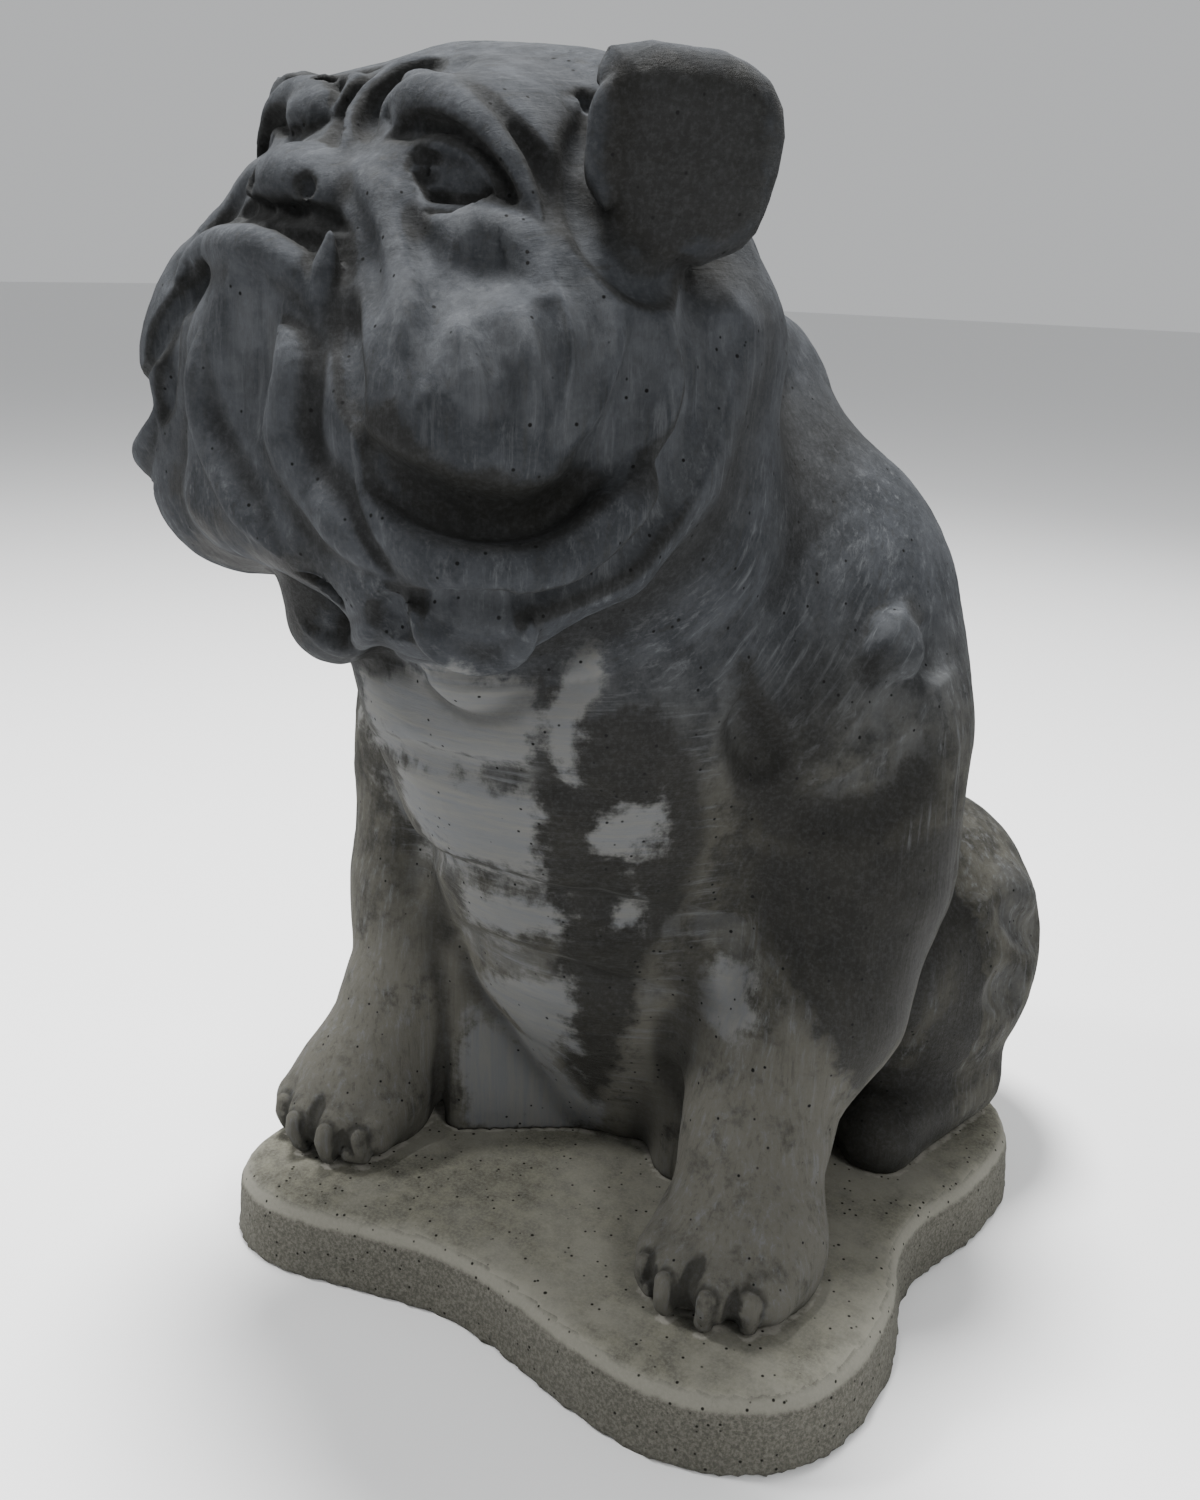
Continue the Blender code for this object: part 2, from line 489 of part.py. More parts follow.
bodyStrokes = {
    "throatCrease": ("line", -0.8, 0.9, "one", [(366, 652), (406, 668), (446, 674), (489, 676),
               (522, 672), (570, 655), (620, 620)]),
    "chestCreaseTop": ("line", -1.3, 1.2, "body", [(376, 744), (406, 755), (439, 769), (479, 776),
               (530, 776)]),
    "chestCreaseMid": ("line", -1.4, 1.3, "body", [(405, 830), (448, 868), (493, 884), (562, 896)]),
    "chestCreaseLow": ("line", -1.3, 1.3, "body", [(448, 925), (493, 952), (541, 967), (600, 975)]),
    "bellyCrease": ("line", -0.7, 1.2, "body", [(500, 968), (562, 990), (631, 1003), (700, 1010)]),
    "neckSideCrease": ("cut", 1.2, 2.5, "body", [(745, 690), (752, 740), (775, 785)]),
    "shoulderCrease": ("line", -2.3, 2.2, "body", [(790, 800), (841, 808), (882, 788), (915, 756),
               (943, 723)]),
    "shoulderHollow": ("line", -1.4, 3.0, "body", [(862, 715), (880, 730), (890, 745)]),
    "shoulderRidge": ("roll", 2.0, 3.0, "body", [(870, 615), (895, 645), (915, 680)]),
    "shoulderDent": ("line", -2.0, 2.0, "body", [(918, 630), (935, 655), (945, 680)]),
    "kneeKnob": ("roll", 1.0, 1.5, "body", [(974, 890), (978, 908), (975, 930)]),
    "armCrease": ("line", -1.2, 2.0, "body", [(735, 900), (730, 960), (722, 1020)]),
    "haunchDentTop": ("line", -2.4, 1.7, "body", [(1000, 900), (1020, 925), (1043, 936)]),
    "haunchDentLow": ("line", -2.8, 2.0, "body", [(990, 980), (1005, 990), (1024, 995)]),
    "haunchRidge": ("line", 1.2, 2.2, "body", [(990, 860), (1010, 880), (1035, 900)]),
    "toeCleftOne": ("cut", 0.5, 0.5, "body", [(656, 1262), (652, 1280), (650, 1300)]),
    "toeCleftTwo": ("cut", 0.6, 0.5, "body", [(706, 1253), (695, 1271), (684, 1291), (677, 1318)]),
    "toeCleftThree": ("cut", 0.5, 0.5, "body", [(739, 1280), (732, 1303), (728, 1330)]),
    "clawBedOne": ("cut", 0.95, 0.2, "body", [(647, 1262), (643, 1293)]),
    "clawBedTwo": ("cut", 0.95, 0.2, "body", [(665, 1280), (663, 1311)]),
    "clawBedThree": ("cut", 0.95, 0.2, "body", [(707, 1299), (702, 1329)]),
    "clawBedFour": ("cut", 0.95, 0.2, "body", [(752, 1302), (747, 1331)]),
    "clawOne": ("ball", 0.66, 0.25, "body", [(647, 1262), (643, 1293)]),
    "clawTwo": ("ball", 0.66, 0.25, "body", [(665, 1280), (663, 1311)]),
    "clawThree": ("ball", 0.66, 0.25, "body", [(707, 1299), (702, 1329)]),
    "clawFour": ("ball", 0.66, 0.25, "body", [(752, 1302), (747, 1331)]),
    "napeRollTop": ("line", -1.6, 2.0, "one", [(-13, -3, 84), (-8, 5, 84), (0, 8, 84), (8, 5, 84),
               (13, -3, 84)]),
    "napeRollLow": ("line", -1.4, 2.0, "one", [(-17, 4, 76), (-9, 15, 75), (0, 18, 75), (9, 15, 75),
               (17, 4, 76)]),
    "spine": ("line", -1.0, 2.5, "one", [(0, 24, 62), (0, 32, 45), (0, 37, 30)]),
}
# Eyes, lids and teeth stand by the plain form. A ball or a lid lies deeper than it by the third value.
eyeStrokes = {
    "eyeball": ("ball", 3.3, 4.1, "head", [(426, 169), (460, 178)]),
    "upperLid": ("lid", 0.8, 0.9, "head", [(386, 186), (392, 164), (408, 148), (432, 141),
               (458, 145), (482, 160), (508, 188), (530, 216)]),
    "lowerLid": ("lid", 0.75, 0.8, "head", [(384, 176), (394, 193), (410, 203), (438, 208),
               (468, 210), (500, 210), (526, 216)]),
}
toothForms = {
    "fang": ("limb", 0.4, [(6.9, -42.7, 82.6, 1.3), (7.0, -42.7, 85.0, 0.95),
               (7.1, -42.5, 87.3, 0.35)]),
    "farFang": ("limb", 0.4, [(-6.4, -41.4, 82.6, 1.3), (-6.4, -41.4, 85.0, 0.9),
               (-6.4, -41.4, 87.2, 0.3)]),
}
gazeStrokes = {
    "iris": ("line", -0.4, 0.4,
               "head", [(427 + 12 * np.cos(t), 167 + 12 * np.sin(t)) for t in np.linspace(0, 6.28, 9)]),
    "pupil": ("cut", 0.5, 0.2, "head", [(425, 167), (429, 168)]),
}


def sightLines(points):
    turn, tip, lean = np.radians([lens["turn"], lens["tip"], lens["lean"]])
    ahead = np.array([-np.sin(turn) * np.cos(tip), np.cos(turn) * np.cos(tip), -np.sin(tip)])
    level = np.array([np.cos(turn), np.sin(turn), 0.0])
    rise = np.cross(level, ahead)
    across = np.cos(lean) * level + np.sin(lean) * rise
    up = np.cos(lean) * rise - np.sin(lean) * level
    offset = (np.array(points, float) - lens["middle"]) / lens["reach"]
    rays = ahead + offset[:, :1] * across - offset[:, 1:] * up
    return rays / np.sqrt((rays ** 2).sum(1))[:, None]


def throwOn(field, points):
    # picture points go along their lines of sight until they meet the form
    line = smoothLine(points)
    if line.shape[1] == 3:
        return settle(field, line, 3, 6.0)
    place, rays = np.array(lens["place"]), sightLines(line)
    travel = np.full(len(rays), 60.0)
    closest, least = travel.copy(), np.full(len(rays), 1e9)
    for _ in range(42):
        gap = field(place + travel[:, None] * rays)
        better = gap < least
        least[better], closest[better] = gap[better], travel[better]
        travel = np.where(gap > 0.02, travel + gap * 0.9, travel)
    return settle(field, place + closest[:, None] * rays, 2, 4.0)


def layStrokes(field, strokes):
    laid = []
    for kind, size, width, sides, points in strokes.values():
        line = throwOn(field, points)
        if kind in ("ball", "lid"):
            step = np.eye(3) * 0.3
            slope = np.stack([field(line + side) - field(line - side) for side in step], 1)
            line = line - width * slope / np.sqrt((slope ** 2).sum(1))[:, None]
        laid.append((kind, size, width, line))
        if sides == "head":
            laid.append((kind, size, width, fromHead(toHead(line) * [-1, 1, 1])))
        if sides == "body":
            laid.append((kind, size, width, line * [-1, 1, 1]))
    return laid


def carve(f, p, laid):
    for kind, size, width, line in laid:
        reach = abs(size) + 3 * abs(width)
        near = ((p > line.min(0) - reach) & (p < line.max(0) + reach)).all(1) & (np.abs(f) < 8)
        if not near.any():
            continue
        gap, along = lineDistance(p[near], line)
        quick = 2.0 if kind == "line" else 3.2
        taper = np.sin(np.clip(np.minimum(along, 1 - along) * quick, 0, 1) * 1.5708)
        if kind == "line":
            f[near] -= size * taper * np.exp(-(gap / width) ** 2)
        elif kind == "roll":
            f[near] = softMin(f[near], gap - size * taper, width * taper + 0.05)
        elif kind == "cut":
            f[near] = softMax(f[near], size * taper - gap, width * taper + 0.05)
        else:
            f[near] = softMin(f[near], gap - (size if kind == "ball" else size * taper), 0.3)
    return f


def makeDogField(soleHeight):
    folds = layStrokes(baseField, {**faceStrokes, **bodyStrokes, **eyeStrokes})

    def seeingField(p):
        return addForms(carve(baseField(p), p, folds), toHead(p), toothForms)

    gaze = layStrokes(seeingField, gazeStrokes)

    def dogField(p):
        return np.maximum(carve(seeingField(p), p, gaze), soleHeight - p[:, 2])

    return dogField


# the slab's edge as seen from above, which follows the figure's stance a margin away
stance = [(-25.6, -24), (-25.2, -28), (-23, -30.2), (-18.6, -30.8), (-11, -29), (-3, -27.4), (5, -28),
          (13, -30), (21.5, -31), (27.6, -29), (31, -25.5), (32.4, -20), (32, -13), (30, -6), (30.4, 1),
          (32.8, 9), (33.3, 16.5), (31.6, 21), (28, 24.6), (25.4, 30), (20.4, 34.6), (12, 36.3),
                     (2, 34.8),
          (-8, 35.8), (-16.6, 33.6), (-23.4, 28.6), (-27.4, 21), (-28.4, 12), (-25.9, 2),
                     (-24.3, -8), (-25, -16)]


def edgeLine(out, steps=3):
    # the slab's outline, moved outward from the stance line by a distance
    c = np.array(stance, float)
    n = len(c)
    ring = smoothLine(np.vstack([c, c, c]), steps)[n * steps:2 * n * steps]
    along = np.roll(ring, -1, 0) - np.roll(ring, 1, 0)
    side = np.stack([along[:, 1], -along[:, 0]], 1) / np.sqrt((along ** 2).sum(1))[:, None]
    return ring + side * out


def concrete(name, colour, roughness):
    material = bpy.data.materials.new(name)
    material.use_nodes = True
    shader = material.node_tree.nodes["Principled BSDF"]
    shader.inputs["Base Color"].default_value = (*colour, 1)
    shader.inputs["Roughness"].default_value = roughness
    shader.inputs["Metallic"].default_value = 0.0
    return material


def addObject(name, mesh, material):
    thing = bpy.data.objects.new(name, mesh)
    bpy.context.collection.objects.link(thing)
    mesh.materials.append(material)
    return thing


def thinnedMesh(mesh, triangles):
    # fewer triangles where the form is plain, as a collapse modifier leaves them
    rough = bpy.data.objects.new("roughCast", mesh)
    bpy.context.collection.objects.link(rough)
    collapse = rough.modifiers.new("collapse", "DECIMATE")
    collapse.ratio = triangles / sum(len(face.vertices) - 2 for face in mesh.polygons)
    seen = rough.evaluated_get(bpy.context.evaluated_depsgraph_get())
    thinned = bpy.data.meshes.new_from_object(seen)
    bpy.data.objects.remove(rough)
    return thinned


def buildDog():
    dogField = makeDogField(BED_GAP / UNIT)
    lowest = BED_GAP / UNIT - 0.5 * LATTICE
    planes = [np.arange(-41, 42, LATTICE), np.arange(-52, 45, LATTICE), np.arange(lowest, 104, LATTICE)]
    points, quads = skin(dogField, planes)
    points, quads = largestPiece(points, quads)
    points = settle(dogField, points, 2, LATTICE)
    mesh = bpy.data.meshes.new("bulldog")
    mesh.from_pydata((points * UNIT).tolist(), [], quads.tolist())
    mesh = thinnedMesh(mesh, DOG_TRIANGLES)
    mesh.name = "bulldog"
    for vertex in mesh.vertices:
        vertex.co.z = SLAB_THICKNESS + max(vertex.co.z, BED_GAP)
    mesh.shade_smooth()
    return addObject("bulldog", mesh, concrete("castConcrete", (0.13, 0.13, 0.13), 0.75))


def buildSlab():
    rings = [
        (SLAB_MARGIN, 0.0),
        (SLAB_MARGIN - EDGE_DRAFT, SLAB_THICKNESS - EDGE_WEAR),
        (SLAB_MARGIN - EDGE_DRAFT - EDGE_WEAR * 0.3, SLAB_THICKNESS - EDGE_WEAR * 0.3),
        (SLAB_MARGIN - EDGE_DRAFT - EDGE_WEAR, SLAB_THICKNESS),
    ]
    points, faces = [], []
    for out, height in rings:
        ring = edgeLine(out / UNIT) * UNIT
        points += [(x, y, height) for x, y in ring]
    count = len(points) // len(rings)
    faces.append(list(range(count))[::-1])
    for level in range(len(rings) - 1):
        for i in range(count):
            j = (i + 1) % count
            low, high = level * count, (level + 1) * count
            faces.append([low + i, low + j, high + j, high + i])
    faces.append(list(range(len(points) - count, len(points))))
    mesh = bpy.data.meshes.new("base_slab")
    mesh.from_pydata(points, [], faces)
    return addObject("base_slab", mesh, concrete("sandyConcrete", (0.17, 0.16, 0.14), 0.9))


buildDog()
buildSlab()
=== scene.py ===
# A sitting bulldog cast in concrete, bedded on its slab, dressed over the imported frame.
from concurrent.futures import ThreadPoolExecutor
import bpy
import numpy as np
from mathutils import Matrix, Vector, noise


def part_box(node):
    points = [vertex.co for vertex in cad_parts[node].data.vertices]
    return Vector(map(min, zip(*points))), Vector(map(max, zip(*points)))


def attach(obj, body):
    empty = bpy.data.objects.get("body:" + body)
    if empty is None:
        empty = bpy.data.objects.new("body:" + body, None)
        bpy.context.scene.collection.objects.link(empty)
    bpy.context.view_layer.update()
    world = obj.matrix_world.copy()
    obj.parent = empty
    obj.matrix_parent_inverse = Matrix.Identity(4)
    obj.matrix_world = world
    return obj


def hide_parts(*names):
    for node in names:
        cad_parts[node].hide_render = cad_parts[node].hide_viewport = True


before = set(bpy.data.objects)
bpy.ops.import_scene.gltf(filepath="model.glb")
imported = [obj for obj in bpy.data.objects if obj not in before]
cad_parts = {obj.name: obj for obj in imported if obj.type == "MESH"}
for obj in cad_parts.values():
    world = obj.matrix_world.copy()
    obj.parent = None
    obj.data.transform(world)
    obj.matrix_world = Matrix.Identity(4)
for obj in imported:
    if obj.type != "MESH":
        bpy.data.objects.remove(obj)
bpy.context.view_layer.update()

# Metres for one unit, a hundredth of the dog's height, and the heights the frame gives
unit = 0.95 / 100
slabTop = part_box("base_slab")[1][2]
bedGap = 0.0003 / unit


def softMin(a, b, blend):
    # the lesser of two, rounded off where they come close
    near = np.maximum(blend - np.abs(a - b), 0.0) / blend
    return np.minimum(a, b) - near * near * blend * 0.25


def softMax(a, b, blend):
    return -softMin(-a, -b, blend)


def turnMatrix(angles):
    # pitch about X, then roll about Y, then yaw about Z, in degrees
    pitch, roll, yaw = np.radians(angles)
    c, s = np.cos([pitch, roll, yaw]), np.sin([pitch, roll, yaw])
    aboutX = np.array([[1, 0, 0], [0, c[0], -s[0]], [0, s[0], c[0]]])
    aboutY = np.array([[c[1], 0, s[1]], [0, 1, 0], [-s[1], 0, c[1]]])
    aboutZ = np.array([[c[2], -s[2], 0], [s[2], c[2], 0], [0, 0, 1]])
    return aboutZ @ aboutY @ aboutX


def egg(p, centre, radii, turn=(0, 0, 0)):
    # roughly the distance to a rounded lump, under nought inside it
    q = (p - np.array(centre)) @ turnMatrix(turn)
    r = np.array(radii, float)
    scaled = np.sqrt(((q / r) ** 2).sum(1)) + 1e-9
    steep = np.sqrt(((q / r ** 2) ** 2).sum(1)) + 1e-9
    return scaled * (scaled - 1.0) / steep


def limb(p, stations):
    # a run of balls of changing size, joined by cones
    stops = np.array(stations, float)
    gaps, share = spanDistance(p, stops[:-1, :3], np.diff(stops[:, :3], axis=0))
    girth = stops[:-1, 3] + share * np.diff(stops[:, 3])
    return (np.sqrt(gaps) - girth).min(1)


def pad(p, centre, half, turn, edge):
    # a block with round edges
    q = np.abs((p - np.array(centre)) @ turnMatrix(turn)) - (np.array(half) - edge)
    return np.sqrt((np.maximum(q, 0) ** 2).sum(1)) + np.minimum(q.max(1), 0) - edge


def spanDistance(p, starts, runs):
    # squared distance from each point to each straight span, and the share along it
    offset = p[:, None] - starts
    lengths = np.maximum((runs ** 2).sum(1), 1e-9)
    share = np.clip((offset * runs).sum(2) / lengths, 0.0, 1.0)
    return ((offset - share[:, :, None] * runs) ** 2).sum(2), share


def outlineDistance(p, ring):
    # signed distance to a closed outline in the plane, under nought inside it
    runs = np.roll(ring, -1, 0) - ring
    gaps, _ = spanDistance(p, ring, runs)
    rise = np.where(np.abs(runs[:, 1]) > 1e-9, runs[:, 1], 1e-9)
    x, y = p[:, :1], p[:, 1:2]
    crosses = (ring[:, 1] > y) != (np.roll(ring, -1, 0)[:, 1] > y)
    left = x < ring[:, 0] + runs[:, 0] * (y - ring[:, 1]) / rise
    inside = (crosses & left).sum(1) % 2 == 1
    return np.where(inside, -1, 1) * np.sqrt(gaps.min(1))


def flap(p, centre, half, turn, edge, ring):
    # a soft-edged leaf of flesh: an outline in its own plane, bowed outward a little
    q = (p - np.array(centre)) @ turnMatrix(turn)
    q[:, 0] += 0.012 * np.sign(centre[0]) * (q[:, 1] ** 2 + q[:, 2] ** 2)
    return softMax(outlineDistance(q[:, 1:], np.array(ring)), np.abs(q[:, 0]) - half[0], edge)


makers = {"egg": egg, "limb": lambda p, *stations: limb(p, stations), "pad": pad, "flap": flap}


def formBox(kind, data):
    # a box that surely holds the form
    if kind == "limb":
        stops = np.array(data, float)
        return (stops[:, :3] - stops[:, 3:]).min(0), (stops[:, :3] + stops[:, 3:]).max(0)
    reach = max(data[1]) if kind == "egg" else np.sqrt((np.array(data[1], float) ** 2).sum())
    return np.array(data[0], float) - reach, np.array(data[0], float) + reach


def addForms(f, p, forms):
    # a form too far from these points to touch or blend is only counted as far off
    low, high = p.min(0), p.max(0)
    f = np.full(len(p), 60.0) if f is None else f
    for kind, blend, data in forms.values():
        formLow, formHigh = formBox(kind, data)
        away = np.sqrt((np.maximum(np.maximum(formLow - high, low - formHigh), 0) ** 2).sum())
        if away > 9:
            f = np.minimum(f, away)
        else:
            f = softMin(f, makers[kind](p, *data), max(blend, 0.01))
    return f


def mirrored(p, soften=0.0):
    # both sides of the dog share the left side's forms, with the middle softened
    q = p.copy()
    q[:, 0] = np.sqrt(p[:, 0] ** 2 + soften ** 2)
    return q


def smoothLine(points, steps=3):
    # a curve through the points
    c = np.array(points, float)
    ends = np.vstack([2 * c[0] - c[1], c, 2 * c[-1] - c[-2]])
    line = []
    for a, b, d, e in zip(ends[:-3], ends[1:-2], ends[2:-1], ends[3:]):
        for t in np.arange(steps) / steps:
            bend = (2 * a - 5 * b + 4 * d - e) * t * t + (3 * b - a - 3 * d + e) * t ** 3
            line.append(0.5 * (2 * b + (d - a) * t + bend))
    return np.array(line + [c[-1]])


def lineDistance(p, line):
    # distance to a line, and how far along it the nearest point lies, from 0 to 1
    runs = np.diff(line, axis=0)
    gaps, share = spanDistance(p, line[:-1], runs)
    lengths = np.sqrt((runs ** 2).sum(1))
    before = np.cumsum(lengths) - lengths
    rows, best = np.arange(len(p)), gaps.argmin(1)
    along = (before[best] + share[rows, best] * lengths[best]) / lengths.sum()
    return np.sqrt(gaps[rows, best]), along


def inParallel(field, p, side=12.0):
    # points are handed out cube by cube, so that far-off forms can be left out of each cube
    if not len(p):
        return np.zeros(0)
    key = ((p + 120) // side).astype(np.int64) @ np.array([1, 1000, 1000000])
    order = np.argsort(key, kind="stable")
    breaks = np.flatnonzero(np.diff(key[order])) + 1
    groups = np.split(order, breaks)
    values = np.zeros(len(p))
    with ThreadPoolExecutor(4) as pool:
        for group, value in zip(groups, pool.map(lambda g: field(p[g]), groups)):
            values[group] = value
    return values


def settle(field, p, rounds, most):
    # pulls points onto the surface along the field's slope, no further than most
    start = p.copy()
    step = 0.06
    for _ in range(rounds):
        here = inParallel(field, p)
        slope = [inParallel(field, p + step * side) - here for side in np.eye(3)]
        slope = np.stack(slope, 1) / step
        p = p - slope * (here / np.maximum((slope ** 2).sum(1), 0.15))[:, None]
    move = p - start
    far = np.sqrt((move ** 2).sum(1))
    return start + move * np.minimum(1.0, most / np.maximum(far, 1e-9))[:, None]


def cleanPatterns():
    # which of the 256 patterns of a cell's inside corners give one clean sheet of skin
    corners = [(i, j, k) for i in (0, 1) for j in (0, 1) for k in (0, 1)]
    clean = np.zeros(256, bool)
    for code in range(256):
        inside = [c for n, c in enumerate(corners) if code >> n & 1]
        outside = [c for c in corners if c not in inside]
        ok = all(inOnePiece(group) for group in (inside, outside))
        for axis in range(3):
            for side in (0, 1):
                a, b, c, d = [corner in inside for corner in corners if corner[axis] == side]
                ok = ok and not (a == d and b == c and a != b)
        clean[code] = ok
    return clean


def inOnePiece(group):
    if not group:
        return True
    seen, todo = set(), [group[0]]
    while todo:
        corner = todo.pop()
        seen.add(corner)
        for axis in range(3):
            other = tuple(1 - v if n == axis else v for n, v in enumerate(corner))
            if other in group and other not in seen:
                todo.append(other)
    return len(seen) == len(group)


def fillLattice(field, planes, block=8, slack=1.6):
    # the field at every lattice point near the skin, and a rough value elsewhere
    dims = [len(g) for g in planes]
    starts = [np.arange(0, n - 1, block) for n in dims]
    ends = [np.minimum(s + block, n - 1) for s, n in zip(starts, dims)]
    middles = [(g[s] + g[e]) / 2 for g, s, e in zip(planes, starts, ends)]
    halves = [(g[e] - g[s]) / 2 for g, s, e in zip(planes, starts, ends)]
    centres = np.stack(np.meshgrid(*middles, indexing="ij"), -1)
    reach = np.sqrt((np.stack(np.meshgrid(*halves, indexing="ij"), -1) ** 2).sum(-1))
    rough = inParallel(field, centres.reshape(-1, 3)).reshape(reach.shape)
    spans = [np.append(np.repeat(np.arange(len(s)), e - s), len(s) - 1)
             for s, e in zip(starts, ends)]
    f = rough[np.ix_(*spans)].astype(np.float32)
    near = np.zeros(dims, bool)
    for i, j, k in np.argwhere(np.abs(rough) < reach * slack):
        cube = [slice(s[n], e[n] + 1) for s, e, n in zip(starts, ends, (i, j, k))]
        near[tuple(cube)] = True
    at = np.argwhere(near)
    f[near] = inParallel(field, np.stack([g[at[:, n]] for n, g in enumerate(planes)], 1))
    f[f == 0] = 1e-6
    return f


def cornerCodes(inside):
    # one bit for each inside corner of every cell
    dims = inside.shape
    codes = np.zeros([n - 1 for n in dims], np.uint8)
    for n in range(8):
        i, j, k = n >> 2, n >> 1 & 1, n & 1
        part = inside[i:dims[0] - 1 + i, j:dims[1] - 1 + j, k:dims[2] - 1 + k]
        codes |= part.astype(np.uint8) << n
    return codes


def skin(field, planes):
    # a closed mesh of quads on the lattice cells that the surface passes through
    f = fillLattice(field, planes)
    inside = f < 0
    clean = cleanPatterns()
    codes = cornerCodes(inside)
    for _ in range(60):
        doubtful = np.argwhere(~clean[codes])
        if not len(doubtful):
            break
        for i, j, k in doubtful:
            corner = f[i:i + 2, j:j + 2, k:k + 2]
            a, b, c = np.unravel_index(np.where(corner > 0, corner, 1e9).argmin(), (2, 2, 2))
            f[i + a, j + b, k + c] = -1e-4
            inside[i + a, j + b, k + c] = True
        codes = cornerCodes(inside)
    mixed = (codes > 0) & (codes < 255)
    cells = np.argwhere(mixed)
    number = np.full(codes.shape, -1, np.int32)
    number[mixed] = np.arange(len(cells))
    total, count = np.zeros((len(cells), 3)), np.zeros(len(cells))
    for axis in range(3):
        for u, v in ((0, 0), (0, 1), (1, 0), (1, 1)):
            low, high = cells + np.insert([u, v], axis, 0), cells + np.insert([u, v], axis, 1)
            fLow, fHigh = f[tuple(low.T)].astype(float), f[tuple(high.T)].astype(float)
            cut = (fLow < 0) != (fHigh < 0)
            share = (fLow[cut] / (fLow[cut] - fHigh[cut]))[:, None]
            a = np.stack([g[low[cut][:, n]] for n, g in enumerate(planes)], 1)
            b = np.stack([g[high[cut][:, n]] for n, g in enumerate(planes)], 1)
            total[cut] += a + share * (b - a)
            count[cut] += 1
    return total / count[:, None], skinQuads(inside, number)


def skinQuads(inside, number):
    # one quad round each lattice edge that passes through the surface
    quads = []
    for axis in range(3):
        low, high = [slice(1, -1)] * 3, [slice(1, -1)] * 3
        low[axis], high[axis] = slice(0, -1), slice(1, None)
        a, b = inside[tuple(low)], inside[tuple(high)]
        u, v = [(1, 2), (2, 0), (0, 1)][axis]
        for order, crossing in ((1, a & ~b), (-1, ~a & b)):
            at = np.argwhere(crossing) + [int(n != axis) for n in range(3)]
            ring = []
            for du, dv in ((1, 1), (0, 1), (0, 0), (1, 0)):
                cell = at.copy()
                cell[:, u] -= du
                cell[:, v] -= dv
                ring.append(number[tuple(cell.T)])
            quads.append(np.stack(ring, 1)[:, ::order])
    return np.concatenate(quads)


def largestPiece(points, quads):
    # drops stray crumbs and sealed bubbles, and keeps the one big closed skin
    label = np.arange(len(points))
    while True:
        least = label[quads].min(1)
        fresh = label.copy()
        np.minimum.at(fresh, quads.ravel(), np.repeat(least, 4))
        fresh = fresh[fresh]
        if (fresh == label).all():
            break
        label = fresh
    kept = label == np.bincount(label).argmax()
    renumber = np.cumsum(kept) - 1
    return points[kept], renumber[quads[kept[quads[:, 0]]]]


# All figure sizes are in units of a hundredth of the dog's height, nought on top of the slab.
# The dog faces -Y. Its head is turned towards its right and leans a little to its left.
headPose = {"turn": 16.0, "lean": -3.5, "pivotY": -15.0, "leanZ": 85.0}


def headFrame():
    # the two turns of the head, and the points they are made about
    turned, leaned = turnMatrix((0, 0, headPose["turn"])), turnMatrix((0, headPose["lean"], 0))
    return turned, leaned, np.array([0, headPose["pivotY"], 0]), np.array([0, 0, headPose["leanZ"]])


def toHead(p):
    turned, leaned, pivot, middle = headFrame()
    return ((p - pivot) @ turned.T + pivot - middle) @ leaned.T + middle


def fromHead(q):
    turned, leaned, pivot, middle = headFrame()
    return ((q - middle) @ leaned + middle - pivot) @ turned + pivot


# Each form: kind, blend with what is already there, then its sizes
trunkForms = {
    "chest": ("limb", 0, [
        (0, -14.5, 62, 19), (0, -11, 54, 21.3), (0, -7.5, 45, 20.5), (0, -5, 38, 19.5),
        (0, -0.5, 25, 18.2), (0, 4, 11, 15.2)]),
    "back": ("limb", 8, [
        (0, -6, 82, 11.5), (0, 2, 70, 15.5), (0, 8, 56, 18.5), (0, 14, 40, 19.5), (0, 18, 22, 19),
        (0, 20, 10, 17)]),
    "shoulder": ("egg", 8, [(16, 2, 53), (13, 14, 18)]),
    "upperArm": ("limb", 6, [(21, -2, 46, 11), (22, -2.5, 35, 10.5), (20.8, -5.5, 24, 9.2)]),
    "foreleg": ("limb", 4, [
        (20.6, -6.5, 22, 9.0), (20, -11, 15, 7.2), (20.8, -14.5, 9, 6.6), (22, -17, 4.5, 7)]),
    "paw": ("egg", 3, [(22.0, -18.4, 2.6), (7.0, 6.8, 6.0)]),
    "toeOne": ("limb", 1.2, [(17.2, -18, 4.6, 2.7), (16.8, -22.6, 2.8, 2.6)]),
    "toeTwo": ("limb", 1.0, [(19.8, -19, 5.4, 2.9), (19.5, -24.4, 3.0, 2.75)]),
    "toeThree": ("limb", 1.0, [(23.0, -19, 5.4, 2.9), (23.2, -24.3, 3.1, 2.8)]),
    "toeFour": ("limb", 1.0, [(26.0, -18, 4.8, 2.8), (26.5, -22.3, 2.9, 2.65)]),
    "thigh": ("egg", 5, [(21, 21, 17), (14.5, 16.5, 17.5)]),
    "knee": ("egg", 3, [(24, 9.5, 21), (6.5, 6, 8)]),
    "rump": ("egg", 8, [(0, 22, 16), (20, 17, 18)]),
    "hindFoot": ("limb", 2.5, [(29, 20, 4, 5), (26.5, 10, 3.4, 4.6), (25.8, 6, 3, 4.4)]),
    "web": ("pad", 3, [(12.5, 1, 6), (6, 11, 8.5), (0, 0, 0), 4]),
}
